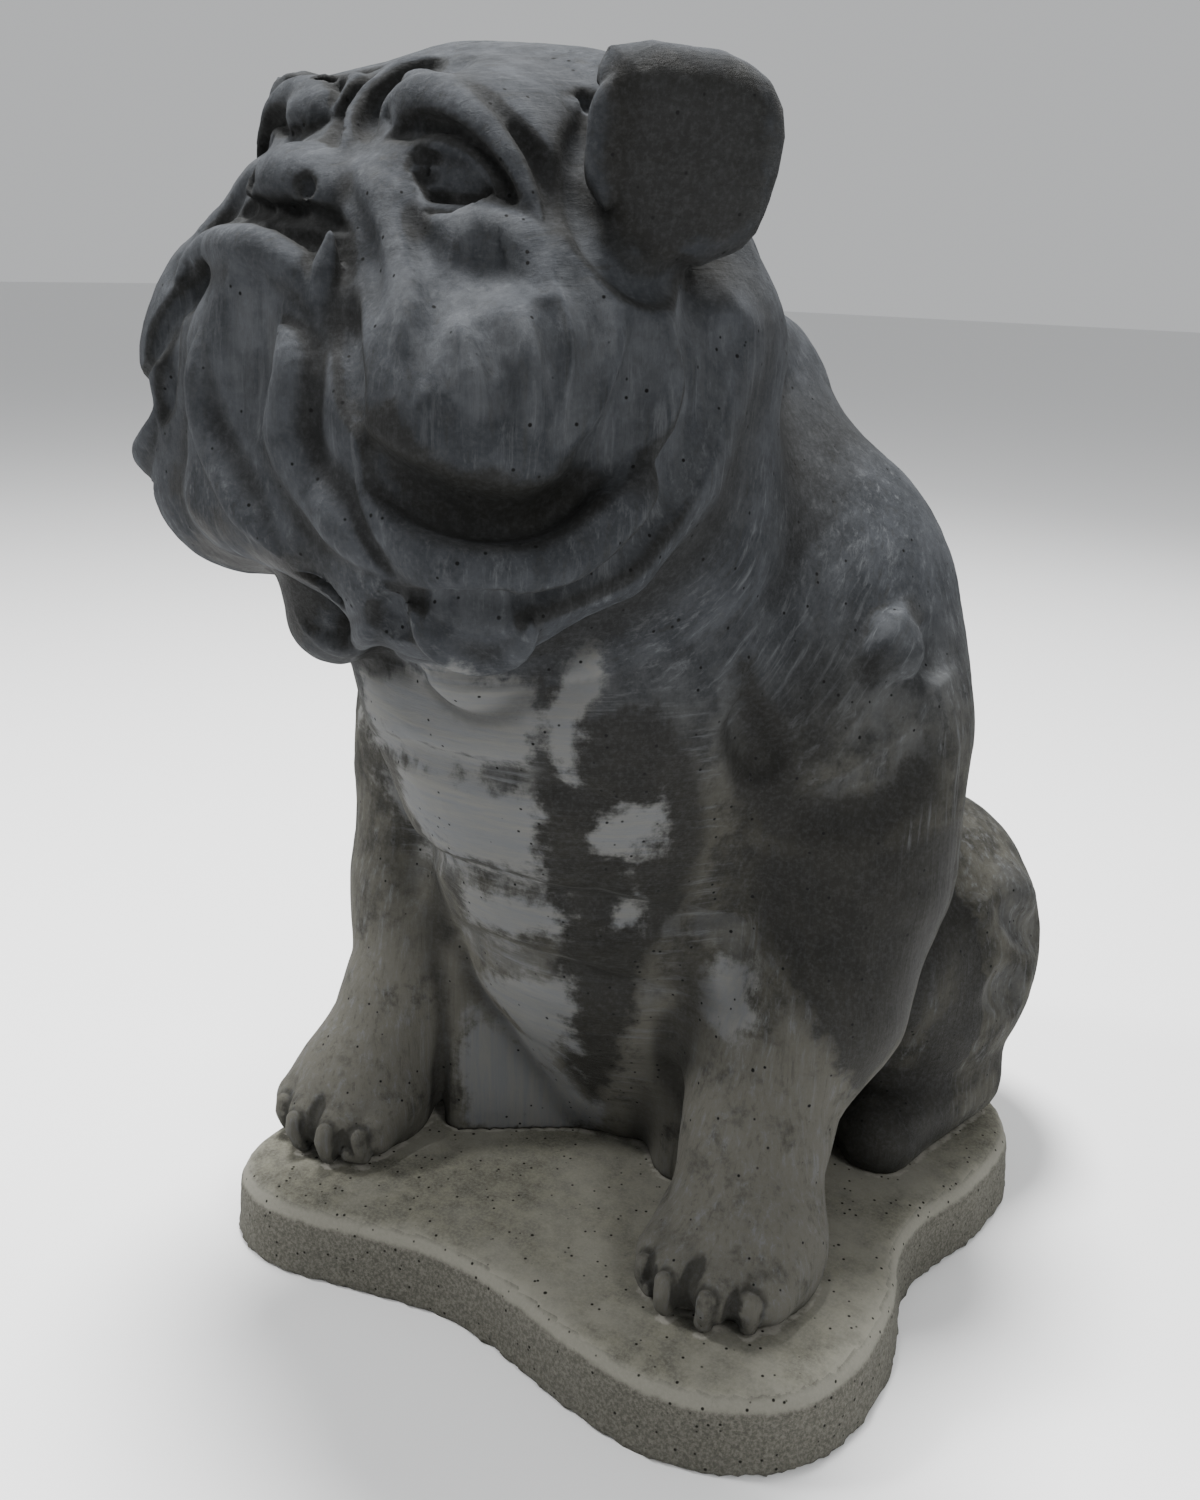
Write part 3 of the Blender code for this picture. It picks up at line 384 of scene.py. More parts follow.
# on one side only: the tail, and the wall of stone between the right foreleg and the belly
tailForms = {
    "rightWall": ("pad", 1.5, [(-8, -8.2, 9), (8.6, 3, 13.5), (0, 0, 36), 2.0]),
    "tail": ("limb", 2.5, [
        (0, 35, 22, 3.2), (2, 39.5, 18, 2.6), (5.5, 40, 15, 1.9), (8, 38, 14.5, 1.3)]),
}
headForms = {
    "skull": ("egg", 0, [(0, -21, 87), (14.5, 15, 13.3)]),
    "poll": ("egg", 4, [(7, -20, 91), (8, 9, 8.6)]),
    "forehead": ("egg", 4, [(0, -27.5, 90), (8, 8.6, 9.2)]),
    "brow": ("egg", 2.5, [(7.2, -29.4, 90.6), (8.4, 8.4, 7.6)]),
    "cheek": ("egg", 5, [(14.5, -29, 80), (9, 10, 10.5)]),
    "flew": ("egg", 4, [(12.4, -35.2, 76.5), (11, 10, 10.5)]),
    "muzzle": ("egg", 4, [(0, -33.5, 86.5), (9, 7, 5.6)]),
    "bridge": ("limb", 2.5, [(0, -37, 89.4, 3.4), (0, -31.5, 91.2, 4.8)]),
    "chop": ("limb", 2.0, [
        (2.6, -37.4, 89.0, 3.2), (6.2, -36.8, 87.6, 4.2), (9.0, -36.6, 84, 5.0),
        (11.2, -36, 79, 6.5)]),
    "chin": ("pad", 1.5, [(0, -39.4, 73.4), (9.2, 6.6, 9.4), (-3, 0, 0), 4.2]),
    "chinTop": ("egg", 2.0, [(-0.4, -40.2, 79.6), (8.8, 6.2, 8.8)]),
    "lobe": ("egg", 3, [(12.5, -37, 67.6), (9.4, 7.8, 7.4)]),
    "jowl": ("limb", 3, [
        (17.5, -19, 82, 3.5), (20, -24, 74, 4), (20.5, -30, 69.5, 4.5), (17, -35, 67, 5)]),
    "collar": ("limb", 6, [(10, -14, 80, 9), (12, -18, 68, 9), (8, -25, 62, 8)]),
    "nose": ("egg", 0.8, [(0, -39.6, 90.2), (4.4, 3.3, 2.6)]),
    "nostrilWing": ("egg", 0.7, [(3.3, -39.7, 89.3), (2.2, 2.7, 2.0)]),
    "lip": ("egg", 0.8, [(3.2, -39.0, 86.6), (3.8, 3.2, 2.2)]),
}
# the ear's outline in its own plane: towards the back, and up
earRing = [
    (-5.6, 7.6), (-3.0, 8.2), (-0.2, 8.1), (2.0, 8.1), (3.6, 7.7), (5.5, 6.9), (6.8, 5.5),
    (7.3, 3.7), (7.2, 1.5), (7.0, -0.4), (6.5, -2.6), (5.5, -3.8), (3.5, -4.6), (1.7, -5.5),
    (-0.6, -6.4), (-2.5, -5.6), (-4.3, -3.9), (-5.5, -2.6), (-6.3, -1.1), (-6.4, 0.2), (-6.3, 2.4),
    (-6.3, 4.7), (-6.2, 6.2)]
earForms = {
    "leftEar": ("flap", 1.0, [(19.6, -24.4, 91.8), (2.3, 9, 11), (0, 12, -18), 2.8, earRing]),
    "rightEar": ("flap", 1.0, [(-19.0, -25.6, 90.2), (2.3, 9, 11), (0, -12, 18), 3.4, earRing]),
}
throatForms = {
    "rightPouch": ("limb", 2, [(-3, -36, 63, 4), (-3.5, -35, 58.5, 4)]),
    "leftPouch": ("limb", 2, [(8, -33, 61, 4.5), (9.5, -31, 58.5, 4.2)]),
}


def baseField(p):
    # the plain form, before any fold is drawn
    f = addForms(None, mirrored(p, 0.5), trunkForms)
    f = addForms(f, p, tailForms)
    q = toHead(p)
    head = addForms(None, mirrored(q, 0.3), headForms)
    head = addForms(head, q, earForms)
    f = softMin(f, head, 5)
    return addForms(f, q, throatForms)


# Folds and creases are drawn as seen from one place in front of the dog's left side, in the
# points of a picture 1200 wide and 1500 high, and thrown from there onto the form.
lens = {"place": (63.4, -114.8, 85.7), "turn": 30.93, "tip": 19.13, "lean": 2.07,
        "reach": 1400, "middle": (600, 750)}
# Each stroke: kind, size, width, which sides, points. A line is a shallow ridge or, with a size
# under nought, a crease; a roll adds a rope of flesh and a cut takes one away.
faceStrokes = {
    "mouthGap": ("cut", 0.8, 0.5, "head", [
        (236, 231), (262, 234), (288, 243), (310, 258), (328, 280)]),
    "lipRim": ("roll", 1.5, 1.4, "one", [
        (172, 300), (184, 272), (200, 256), (222, 249), (248, 248), (273, 256), (297, 270),
        (314, 295), (322, 325)]),
    "rightChinRidge": ("roll", 1.4, 1.5, "one", [
        (200, 324), (201, 362), (206, 400), (214, 435), (228, 470), (245, 505), (268, 540),
        (282, 562)]),
    "leftChinRidge": ("roll", 1.8, 1.5, "one", [
        (273, 311), (286, 343), (292, 375), (290, 407), (292, 439), (311, 471), (337, 512),
        (362, 547), (391, 579)]),
    "chinScoop": ("line", -1.8, 2.6, "one", [
        (232, 275), (238, 310), (245, 350), (250, 400), (262, 440)]),
    "rightChinCrease": ("cut", 1.0, 1.0, "one", [(176, 286), (168, 324), (164, 375), (160, 430)]),
    "mouthCrease": ("cut", 1.1, 0.9, "head", [
        (336, 262), (342, 300), (343, 345), (346, 385), (354, 420), (366, 450)]),
    "flewShadow": ("cut", 1.8, 2.2, "head", [
        (356, 420), (378, 462), (410, 498), (450, 522), (500, 532), (545, 527), (582, 502),
        (608, 458), (622, 400)]),
    "smileRoll": ("roll", 1.9, 1.8, "head", [
        (352, 470), (378, 515), (415, 552), (464, 572), (519, 574), (570, 556), (622, 510),
        (657, 440), (684, 370), (700, 300)]),
    "underRoll": ("cut", 1.4, 1.2, "head", [
        (375, 579), (406, 596), (452, 604), (500, 604), (550, 596), (610, 570), (662, 520),
        (702, 440), (730, 370)]),
    "noseFoldInner": ("line", -0.6, 0.8, "head", [
        (344, 172), (352, 195), (362, 220), (370, 250), (374, 285), (372, 320)]),
    "chopRidge": ("line", 1.0, 1.6, "head", [
        (354, 158), (382, 194), (402, 234), (413, 270), (410, 314), (398, 356)]),
    "eyeFold": ("line", -1.9, 1.0, "head", [
        (392, 200), (416, 230), (432, 268), (436, 298), (428, 332), (424, 362), (424, 392)]),
    "foldOneRidge": ("line", 1.0, 1.2, "head", [(462, 300), (476, 340), (482, 386), (480, 434)]),
    "foldOneHair": ("line", -0.9, 0.6, "head", [(444, 314), (446, 370), (447, 430)]),
    "foldOne": ("line", -1.8, 1.0, "head", [
        (450, 286), (480, 320), (494, 362), (501, 400), (500, 446)]),
    "foldTwoRidge": ("line", 0.9, 1.3, "head", [(520, 300), (530, 350), (530, 400), (520, 446)]),
    "foldTwo": ("line", -1.6, 0.9, "head", [(548, 296), (552, 346), (554, 390), (548, 430)]),
    "foldThreeRidge": ("line", 1.1, 1.4, "head", [(566, 282), (572, 330), (570, 380), (556, 430)]),
    "foldThree": ("line", -2.3, 1.4, "head", [
        (578, 238), (586, 290), (591, 330), (591, 370), (581, 410), (566, 450), (556, 474)]),
    "foldFourRidge": ("line", 1.0, 1.5, "head", [(612, 300), (616, 350), (606, 400), (584, 446)]),
    "foldFour": ("line", -2.4, 1.4, "head", [
        (640, 310), (642, 346), (634, 386), (618, 434), (588, 480)]),
    "foldFiveRidge": ("line", 1.0, 1.5, "head", [(668, 300), (666, 350), (654, 400), (630, 450)]),
    "foldFive": ("line", -2.4, 1.5, "head", [
        (704, 266), (693, 330), (686, 378), (670, 430), (642, 474), (610, 510)]),
    "foldSix": ("line", -2.2, 1.6, "head", [
        (746, 314), (724, 350), (710, 410), (690, 462), (664, 514)]),
    "socket": ("cut", 3.1, 0.9, "head", [(412, 176), (438, 171), (468, 180), (494, 196)]),
    "browRidge": ("roll", 1.1, 2.4, "head", [
        (374, 132), (386, 114), (405, 101), (432, 97), (457, 105), (484, 127), (508, 156),
        (531, 194), (546, 224)]),
    "browRing": ("roll", 0.9, 0.6, "head", [
        (374, 124), (382, 103), (400, 88), (422, 84), (440, 90)]),
    "browUnder": ("cut", 0.9, 0.5, "head", [
        (380, 148), (392, 135), (414, 128), (442, 131), (467, 147), (490, 169), (511, 197),
        (526, 222)]),
    "eyeBag": ("line", 1.0, 1.6, "head", [
        (408, 222), (440, 224), (480, 226), (516, 234), (540, 250)]),
    "eyePouch": ("line", -1.3, 2.6, "head", [(452, 252), (482, 266), (510, 268), (530, 258)]),
    "templeCord": ("line", 0.5, 1.2, "head", [
        (470, 78), (505, 98), (535, 130), (556, 170), (568, 215), (572, 260)]),
    "browTopCrease": ("line", -0.6, 0.9, "head", [
        (446, 92), (475, 102), (504, 128), (530, 160), (548, 196)]),
    "foreheadCreaseOne": ("line", -0.6, 0.9, "one", [(436, 80), (452, 66), (475, 56)]),
    "foreheadCreaseTwo": ("line", -0.5, 0.9, "one", [(325, 122), (332, 103), (346, 88), (362, 78)]),
    "farBrowFold": ("line", -0.6, 0.8, "one", [(270, 120), (282, 104), (302, 90), (325, 80)]),
    "stopRoll": ("roll", 0.9, 1.0, "one", [
        (342, 150), (350, 127), (365, 104), (388, 83), (414, 66), (445, 55)]),
    "stopCreaseLeft": ("cut", 0.8, 0.8, "one", [
        (366, 145), (370, 122), (384, 101), (408, 82), (428, 68), (450, 56)]),
    "stopCreaseRight": ("cut", 0.8, 0.8, "one", [
        (335, 148), (340, 127), (354, 105), (373, 84), (396, 69), (420, 60)]),
    "rightBrowCrease": ("cut", 0.7, 0.7, "one", [
        (299, 108), (314, 95), (340, 82), (360, 73), (385, 65)]),
    "rightBrowKnob": ("roll", 1.4, 1.2, "one", [(290, 134), (302, 120), (318, 112), (332, 118)]),
    "templeCrease": ("line", -0.7, 1.0, "head", [
        (505, 128), (527, 150), (545, 180), (556, 215), (560, 250)]),
    "earCrease": ("cut", 1.1, 1.4, "head", [
        (590, 92), (586, 120), (582, 150), (580, 185), (585, 212), (598, 240), (616, 264),
        (640, 282), (665, 284), (700, 272)]),
    "earRim": ("roll", 0.9, 0.9, "head", [
        (616, 70), (606, 100), (601, 140), (600, 180), (609, 214)]),
    "earHollow": ("cut", 1.5, 0.8, "head", [(598, 84), (593, 96), (588, 112)]),
    "nostril": ("cut", 0.8, 0.3, "head", [(316, 180), (303, 185), (296, 196)]),
    "noseUnder": ("cut", 0.6, 0.4, "head", [
        (272, 208), (290, 213), (312, 214), (334, 222), (350, 234)]),
    "lipCleft": ("line", -0.5, 0.5, "one", [(280, 212), (272, 228), (262, 242)]),
    "rightPouchHollow": ("cut", 1.9, 0.8, "one", [(320, 580), (322, 586), (324, 592)]),
    "leftPouchHollow": ("line", -2.2, 1.8, "one", [(430, 608), (470, 616), (515, 608)]),
    "leftPouchRim": ("roll", 1.1, 1.2, "one", [
        (402, 596), (418, 622), (444, 648), (470, 660), (498, 658), (522, 644), (533, 615)]),
    "rightPouchRim": ("roll", 0.9, 1.0, "one", [
        (290, 604), (308, 630), (332, 645), (355, 645), (372, 622), (372, 596)]),
    "pouchCleft": ("cut", 1.2, 1.2, "one", [(378, 590), (388, 612), (394, 640)]),
}
clawLines = {"One": [(647, 1262), (643, 1293)], "Two": [(665, 1280), (663, 1311)],
             "Three": [(707, 1299), (702, 1329)], "Four": [(752, 1302), (747, 1331)]}
bodyStrokes = {
    "throatCrease": ("line", -0.8, 0.9, "one", [
        (366, 652), (406, 668), (446, 674), (489, 676), (522, 672), (570, 655), (620, 620)]),
    "chestCreaseTop": ("line", -1.9, 1.2, "body", [
        (376, 744), (406, 755), (439, 769), (479, 776), (530, 776)]),
    "chestCreaseMid": ("line", -2.3, 1.3, "body", [(405, 830), (448, 868), (493, 884), (562, 896)]),
    "chestCreaseLow": ("line", -2.2, 1.3, "body", [(448, 925), (493, 952), (541, 967), (600, 975)]),
    "bellyCrease": ("line", -0.7, 1.2, "body", [(500, 968), (562, 990), (631, 1003), (700, 1010)]),
    "neckSideCrease": ("cut", 1.2, 2.5, "body", [(745, 690), (752, 740), (775, 785)]),
    "shoulderCrease": ("line", -2.3, 2.2, "body", [
        (790, 800), (841, 808), (882, 788), (915, 756), (943, 723)]),
    "shoulderHollow": ("line", -1.4, 3.0, "body", [(862, 715), (880, 730), (890, 745)]),
    "shoulderRidge": ("roll", 2.0, 3.0, "body", [(870, 615), (895, 645), (915, 680)]),
    "shoulderDent": ("line", -2.0, 2.0, "body", [(918, 630), (935, 655), (945, 680)]),
    "kneeKnob": ("roll", 1.0, 1.5, "body", [(974, 890), (978, 908), (975, 930)]),
    "armCrease": ("line", -1.2, 2.0, "body", [(735, 900), (730, 960), (722, 1020)]),
    "haunchDentTop": ("line", -2.4, 1.7, "body", [(1000, 900), (1020, 925), (1043, 936)]),
    "haunchDentLow": ("line", -2.8, 2.0, "body", [(990, 980), (1005, 990), (1024, 995)]),
    "haunchRidge": ("line", 1.2, 2.2, "body", [(990, 860), (1010, 880), (1035, 900)]),
    "toeCleftOne": ("cut", 0.3, 0.7, "body", [(656, 1262), (652, 1280), (650, 1300)]),
    "toeCleftTwo": ("cut", 0.3, 0.8, "body", [(706, 1253), (695, 1271), (684, 1291), (677, 1318)]),
    "toeCleftThree": ("cut", 0.3, 0.7, "body", [(739, 1280), (732, 1303), (728, 1330)]),
    **{"clawBed" + toe: ("cut", 0.7, 0.2, "body", line) for toe, line in clawLines.items()},
    **{"claw" + toe: ("ball", 0.8, -0.25, "body", line) for toe, line in clawLines.items()},
    "napeRollTop": ("line", -1.6, 2.0, "one", [
        (-13, -3, 84), (-8, 5, 84), (0, 8, 84), (8, 5, 84), (13, -3, 84)]),
    "napeRollLow": ("line", -1.4, 2.0, "one", [
        (-17, 4, 76), (-9, 15, 75), (0, 18, 75), (9, 15, 75), (17, 4, 76)]),
    "spine": ("line", -1.0, 2.5, "one", [(0, 24, 62), (0, 32, 45), (0, 37, 30)]),
}
# Eyes, lids and teeth. A ball or a lid lies deeper than the form by the third value.
eyeStrokes = {
    "eyeball": ("ball", 3.4, 3.9, "head", [(426, 169), (460, 178)]),
    "upperLid": ("lid", 0.8, 0.9, "head", [
        (386, 186), (392, 164), (408, 148), (432, 141), (458, 145), (482, 160), (508, 188),
        (530, 216)]),
    "lowerLid": ("lid", 0.75, 0.8, "head", [
        (384, 176), (394, 193), (410, 203), (438, 208), (468, 210), (500, 210), (526, 216)]),
}
toothForms = {
    "gum": ("egg", 1.2, [(7.6, -41.6, 81.2), (2.4, 1.8, 3.2)]),
    "fang": ("limb", 0.4, [
        (6.9, -42.7, 83.4, 1.25), (7.0, -42.7, 85.2, 0.95), (7.1, -42.5, 87.3, 0.35)]),
    "farFang": ("limb", 0.4, [
        (-6.4, -41.4, 83.2, 1.3), (-6.4, -41.4, 85.2, 0.9), (-6.4, -41.4, 87.2, 0.3)]),
}
irisRing = [(427 + 12 * np.cos(t), 167 + 12 * np.sin(t)) for t in np.linspace(0, 6.28, 9)]
gazeStrokes = {
    "iris": ("line", -0.6, 0.36, "head", irisRing),
    "pupil": ("cut", 0.55, 0.2, "head", [(425, 167), (429, 168)]),
}


def lensAxes():
    # the directions ahead of the lens, across its picture and up it
    turn, tip, lean = np.radians([lens["turn"], lens["tip"], lens["lean"]])
    ahead = np.array([-np.sin(turn) * np.cos(tip), np.cos(turn) * np.cos(tip), -np.sin(tip)])
    level = np.array([np.cos(turn), np.sin(turn), 0.0])
    rise = np.cross(level, ahead)
    across = np.cos(lean) * level + np.sin(lean) * rise
    return ahead, across, np.cos(lean) * rise - np.sin(lean) * level


def sightLines(points):
    ahead, across, up = lensAxes()
    offset = (np.array(points, float) - lens["middle"]) / lens["reach"]
    rays = ahead + offset[:, :1] * across - offset[:, 1:] * up
    return rays / np.sqrt((rays ** 2).sum(1))[:, None]


def throwOn(field, points):
    # picture points go along their lines of sight until they meet the form
    place, rays = np.array(lens["place"]), sightLines(points)
    travel = np.full(len(rays), 60.0)
    closest, least = travel.copy(), np.full(len(rays), 1e9)
    for _ in range(60):
        gap = field(place + travel[:, None] * rays)
        better = gap < least
        least[better], closest[better] = gap[better], travel[better]
        travel = np.where(gap > 0.02, travel + gap * 0.85, travel)
    return settle(field, place + closest[:, None] * rays, 2, 4.0)


def layStrokes(field, strokes):
    # each stroke's line on the form, and its mirror image where it has one
    lines = {name: smoothLine(facts[4]) for name, facts in strokes.items()}
    drawn = [name for name in lines if lines[name].shape[1] == 2]
    thrown = throwOn(field, np.concatenate([lines[name] for name in drawn]))
    ends = np.cumsum([len(lines[name]) for name in drawn])
    placed = dict(zip(drawn, np.split(thrown, ends[:-1])))
    laid = []
    for name, (kind, size, width, sides, _) in strokes.items():
        line = placed[name] if name in placed else settle(field, lines[name], 3, 6.0)
        if kind in ("ball", "lid"):
            step = np.eye(3) * 0.3
            slope = np.stack([field(line + side) - field(line - side) for side in step], 1)
            line = line - width * slope / np.sqrt((slope ** 2).sum(1))[:, None]
        both = [line]
        if sides == "head":
            both.append(fromHead(toHead(line) * [-1, 1, 1]))
        if sides == "body":
            both.append(line * [-1, 1, 1])
        reach = abs(size) + 3 * abs(width)
        laid += [(kind, size, width, one, one.min(0) - reach, one.max(0) + reach) for one in both]
    return laid


def carve(f, p, laid):
    # adds or takes away each stroke, fading out at its two ends
    lowest, highest = p.min(0), p.max(0)
    for kind, size, width, line, low, high in laid:
        if (low > highest).any() or (high < lowest).any():
            continue
        near = ((p > low) & (p < high)).all(1) & (np.abs(f) < 8)
        if not near.any():
            continue
        gap, along = lineDistance(p[near], line)
        quick = 2.0 if kind == "line" else 3.2
        taper = np.sin(np.clip(np.minimum(along, 1 - along) * quick, 0, 1) * 1.5708)
        if kind == "line":
            f[near] -= size * taper * np.exp(-(gap / width) ** 2)
        elif kind == "roll":
            f[near] = softMin(f[near], gap - size * taper, width * taper + 0.05)
        elif kind == "cut":
            f[near] = softMax(f[near], size * taper - gap, width * taper + 0.05)
        else:
            f[near] = softMin(f[near], gap - (size if kind == "ball" else size * taper), 0.3)
    return f


def makeDogField(soleHeight):
    folds = layStrokes(baseField, {**faceStrokes, **bodyStrokes, **eyeStrokes})

    def seeingField(p):
        return addForms(carve(baseField(p), p, folds), toHead(p), toothForms)

    gaze = layStrokes(seeingField, gazeStrokes)

    def dogField(p):
        return np.maximum(carve(seeingField(p), p, gaze), soleHeight - p[:, 2])

    return dogField


# the slab's edge as seen from above, which follows the figure's stance a margin away
stance = [
    (-25.6, -24), (-25.2, -28), (-23, -30.2), (-18.6, -30.8), (-11, -29), (-3, -27.4), (5, -28),
    (13, -30), (21.5, -31), (27.6, -29), (31, -25.5), (32.4, -20), (32, -13), (30, -6), (30.4, 1),
    (32.8, 9), (33.3, 16.5), (31.6, 21), (28, 24.6), (25.4, 30), (20.4, 34.6), (12, 36.3),
    (2, 34.8), (-8, 35.8), (-16.6, 33.6), (-23.4, 28.6), (-27.4, 21), (-28.4, 12), (-25.9, 2),
    (-24.3, -8), (-25, -16)]


def edgeLine(out, steps=3):
    # the slab's outline, moved outward from the stance line by a distance
    c = np.array(stance, float)
    n = len(c)
    ring = smoothLine(np.vstack([c, c, c]), steps)[n * steps:2 * n * steps]
    along = np.roll(ring, -1, 0) - np.roll(ring, 1, 0)
    side = np.stack([along[:, 1], -along[:, 0]], 1) / np.sqrt((along ** 2).sum(1))[:, None]
    return ring + side * out


def stretch(stops, cells):
    # lattice planes that stand closer together in some stretches than in others
    planes = [stops[0]]
    for low, high, cell in zip(stops[:-1], stops[1:], cells):
        count = max(1, round((high - low) / cell))
        planes += list(low + (high - low) * (np.arange(count) + 1) / count)
    return np.array(planes)


def noiseAt(p, size, octaves=3):
    # soft random relief from -1 to 1, with lumps of about the given size
    return np.array([noise.fractal(Vector(q), 1.0, 2.0, octaves) for q in p / size])


def skinNormals(points, quads):
    # outward directions at the points of a skin
    a, b, c, d = (points[quads[:, n]] for n in range(4))
    faces = np.cross(c - a, d - b)
    normals = np.zeros(points.shape)
    for n in range(4):
        np.add.at(normals, quads[:, n], faces)
    return normals / np.maximum(np.sqrt((normals ** 2).sum(1)), 1e-12)[:, None]


def shelter(field, p, normals, reaches):
    # 0 on open faces, towards 1 deep inside folds
    total = np.zeros(len(p))
    for reach in reaches:
        gap = inParallel(field, p + normals * reach)
        total += np.clip((reach - gap) / reach, -0.5, 1.2)
    return total / len(reaches)


def meshPiece(name, points, quads, marks, triangles):
    # a mesh in metres with the marks on its points, thinned to so many triangles
    mesh = bpy.data.meshes.new(name)
    place = points * unit
    place[:, 2] += slabTop
    mesh.from_pydata(place.tolist(), [], quads.tolist())
    for mark, values in marks.items():
        single = values.ndim == 1
        layer = mesh.attributes.new(mark, "FLOAT" if single else "FLOAT_VECTOR", "POINT")
        layer.data.foreach_set("value" if single else "vector", values.astype(np.float32).ravel())
    piece = bpy.data.objects.new(name, mesh)
    bpy.context.collection.objects.link(piece)
    if 2 * len(quads) > triangles:
        collapse = piece.modifiers.new("collapse", "DECIMATE")
        collapse.ratio = triangles / (2 * len(quads))
        seen = piece.evaluated_get(bpy.context.evaluated_depsgraph_get())
        thinned = bpy.data.meshes.new_from_object(seen)
        piece.modifiers.clear()
        piece.data = thinned
    piece.data.shade_smooth()
    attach(piece, "root")
    print(name, len(piece.data.vertices), "points")
    return piece


# Places where the colour differs, outlined in the picture's points on the side that faces the lens
palePlaces = {
    "upperBand": [(354, 668), (450, 672), (534, 682), (538, 764), (445, 770), (374, 745)],
    "middleBand": [(376, 768), (526, 787), (538, 826), (541, 884), (445, 864), (393, 801)],
    "lowBand": [(462, 893), (557, 899), (563, 941), (507, 934), (468, 922)],
    "belly": [(474, 968), (570, 987), (578, 1047), (526, 1066), (493, 1022)],
    "chestRight": [
        (597, 645), (595, 697), (575, 722), (575, 780), (549, 753), (543, 714), (568, 668)],
    "chestStreak": [(595, 814), (664, 801), (658, 839), (626, 864), (601, 851)],
    "chestChip": [(612, 906), (634, 896), (634, 925), (609, 928)],
    "web": [(470, 1010), (540, 1050), (600, 1110), (600, 1138), (470, 1128), (452, 1060)],
    "legTop": [(718, 955), (753, 968), (759, 1034), (724, 1034), (705, 1001)],
}
# Dark places: damp stains on the chest, a damp stain with painted shade in the hollow under the
# flews, and painted shade on the shoulder fold, the ear, the arm, the haunch, the hind foot and
# under the chin
dampAndShadePlaces = {
    "chestStripe": [
        (536, 672), (575, 684), (590, 716), (655, 706), (690, 760), (700, 830), (680, 900),
        (640, 960), (620, 1060), (594, 1110), (566, 1072), (550, 1012), (560, 950), (536, 888),
        (528, 820), (543, 758)],
    "recess": [
        (340, 400), (372, 448), (400, 485), (440, 512), (480, 528), (530, 528), (580, 500),
        (560, 480), (500, 478), (440, 460), (390, 405)],
    "shoulderFold": [
        (745, 660), (770, 700), (800, 790), (870, 800), (930, 740), (940, 800), (880, 850),
        (800, 850), (740, 800)],
    "ear": [
        (612, 66), (660, 58), (745, 74), (776, 112), (764, 196), (744, 232), (655, 262), (606, 212),
        (600, 150)],
    "arm": [
        (760, 860), (850, 850), (960, 830), (968, 930), (900, 1040), (860, 1090), (800, 1000),
        (770, 930)],
    "haunch": [
        (960, 820), (1045, 850), (1062, 960), (1020, 1060), (940, 1110), (890, 1100), (960, 1000)],
    "hindFoot": [(850, 1100), (960, 1080), (950, 1130), (880, 1190), (850, 1170)],
    "underChin": [(176, 480), (240, 548), (300, 560), (330, 600), (300, 640), (200, 560)],
}
levelPlaces = {
    "chest": [(330, 640), (540, 670), (720, 700), (730, 980), (640, 1130), (480, 1000), (400, 850)],
}


def onPicture(p):
    # where points of the figure fall in the picture
    ahead, across, up = lensAxes()
    ray = p - lens["place"]
    scale = lens["reach"] / (ray @ ahead)
    middle = lens["middle"]
    return np.stack([middle[0] + scale * (ray @ across), middle[1] - scale * (ray @ up)], 1)


def placeMarks(p, normals, places):
    # 1 inside the outlined places, fading over their edges
    seen = onPicture(p)
    ray = p - np.array(lens["place"])
    facing = -(normals * ray).sum(1) / np.sqrt((ray ** 2).sum(1))
    inFront = np.clip(facing * 4, 0, 1) * (p[:, 1] < 12)
    mark = np.zeros(len(p))
    for outline in places.values():
        ring = np.array(outline, float)
        near = ((seen > ring.min(0) - 26) & (seen < ring.max(0) + 26)).all(1)
        gap = outlineDistance(seen[near], ring)
        mark[near] = np.maximum(mark[near], np.clip(0.5 - gap / 50, 0, 1))
    return mark * inFront


grain = {"centre": (-32, 79), "near": 13, "far": 46, "reach": 25, "stretch": 0.09}


def grainMarks(p):
    # the brush went round the cheeks, along the top of the head, and up and down elsewhere
    q = toHead(p)
    forward, up = q[:, 1] - grain["centre"][0], q[:, 2] - grain["centre"][1]
    radius, angle = np.sqrt(forward ** 2 + up ** 2), np.arctan2(forward, -up)
    ring = np.clip((radius - grain["near"]) / 5, 0, 1) * np.clip((grain["far"] - radius) / 10, 0, 1)
    ring *= np.clip(0.2 - up / 8, 0, 1)
    around = np.stack([radius, q[:, 0], angle * grain["reach"] * grain["stretch"]], 1)
    lengthwise = q * [1, grain["stretch"] * 1.5, 1]
    return {"ring": ring, "around": around * unit, "crown": np.clip(up / 4 - 1, 0, 1),
            "lengthwise": lengthwise * unit, "front": np.clip(0.6 - p[:, 1] / 10, 0, 1)}


# The dog's skin: lattice cells, the reach of its fold and crease marks, its relief as height and
# size of lump, and how many triangles it may have
cell = 0.38
dogSkin = {"cell": cell, "eyes": 0.8 * cell, "face": 1.1 * cell, "coarse": 2.2 * cell,
           "fold": (1.2, 3.0, 7.0), "crease": (0.8,), "lumps": (0.16, 9.0), "grain": (0.05, 1.6),
           "triangles": 196000}


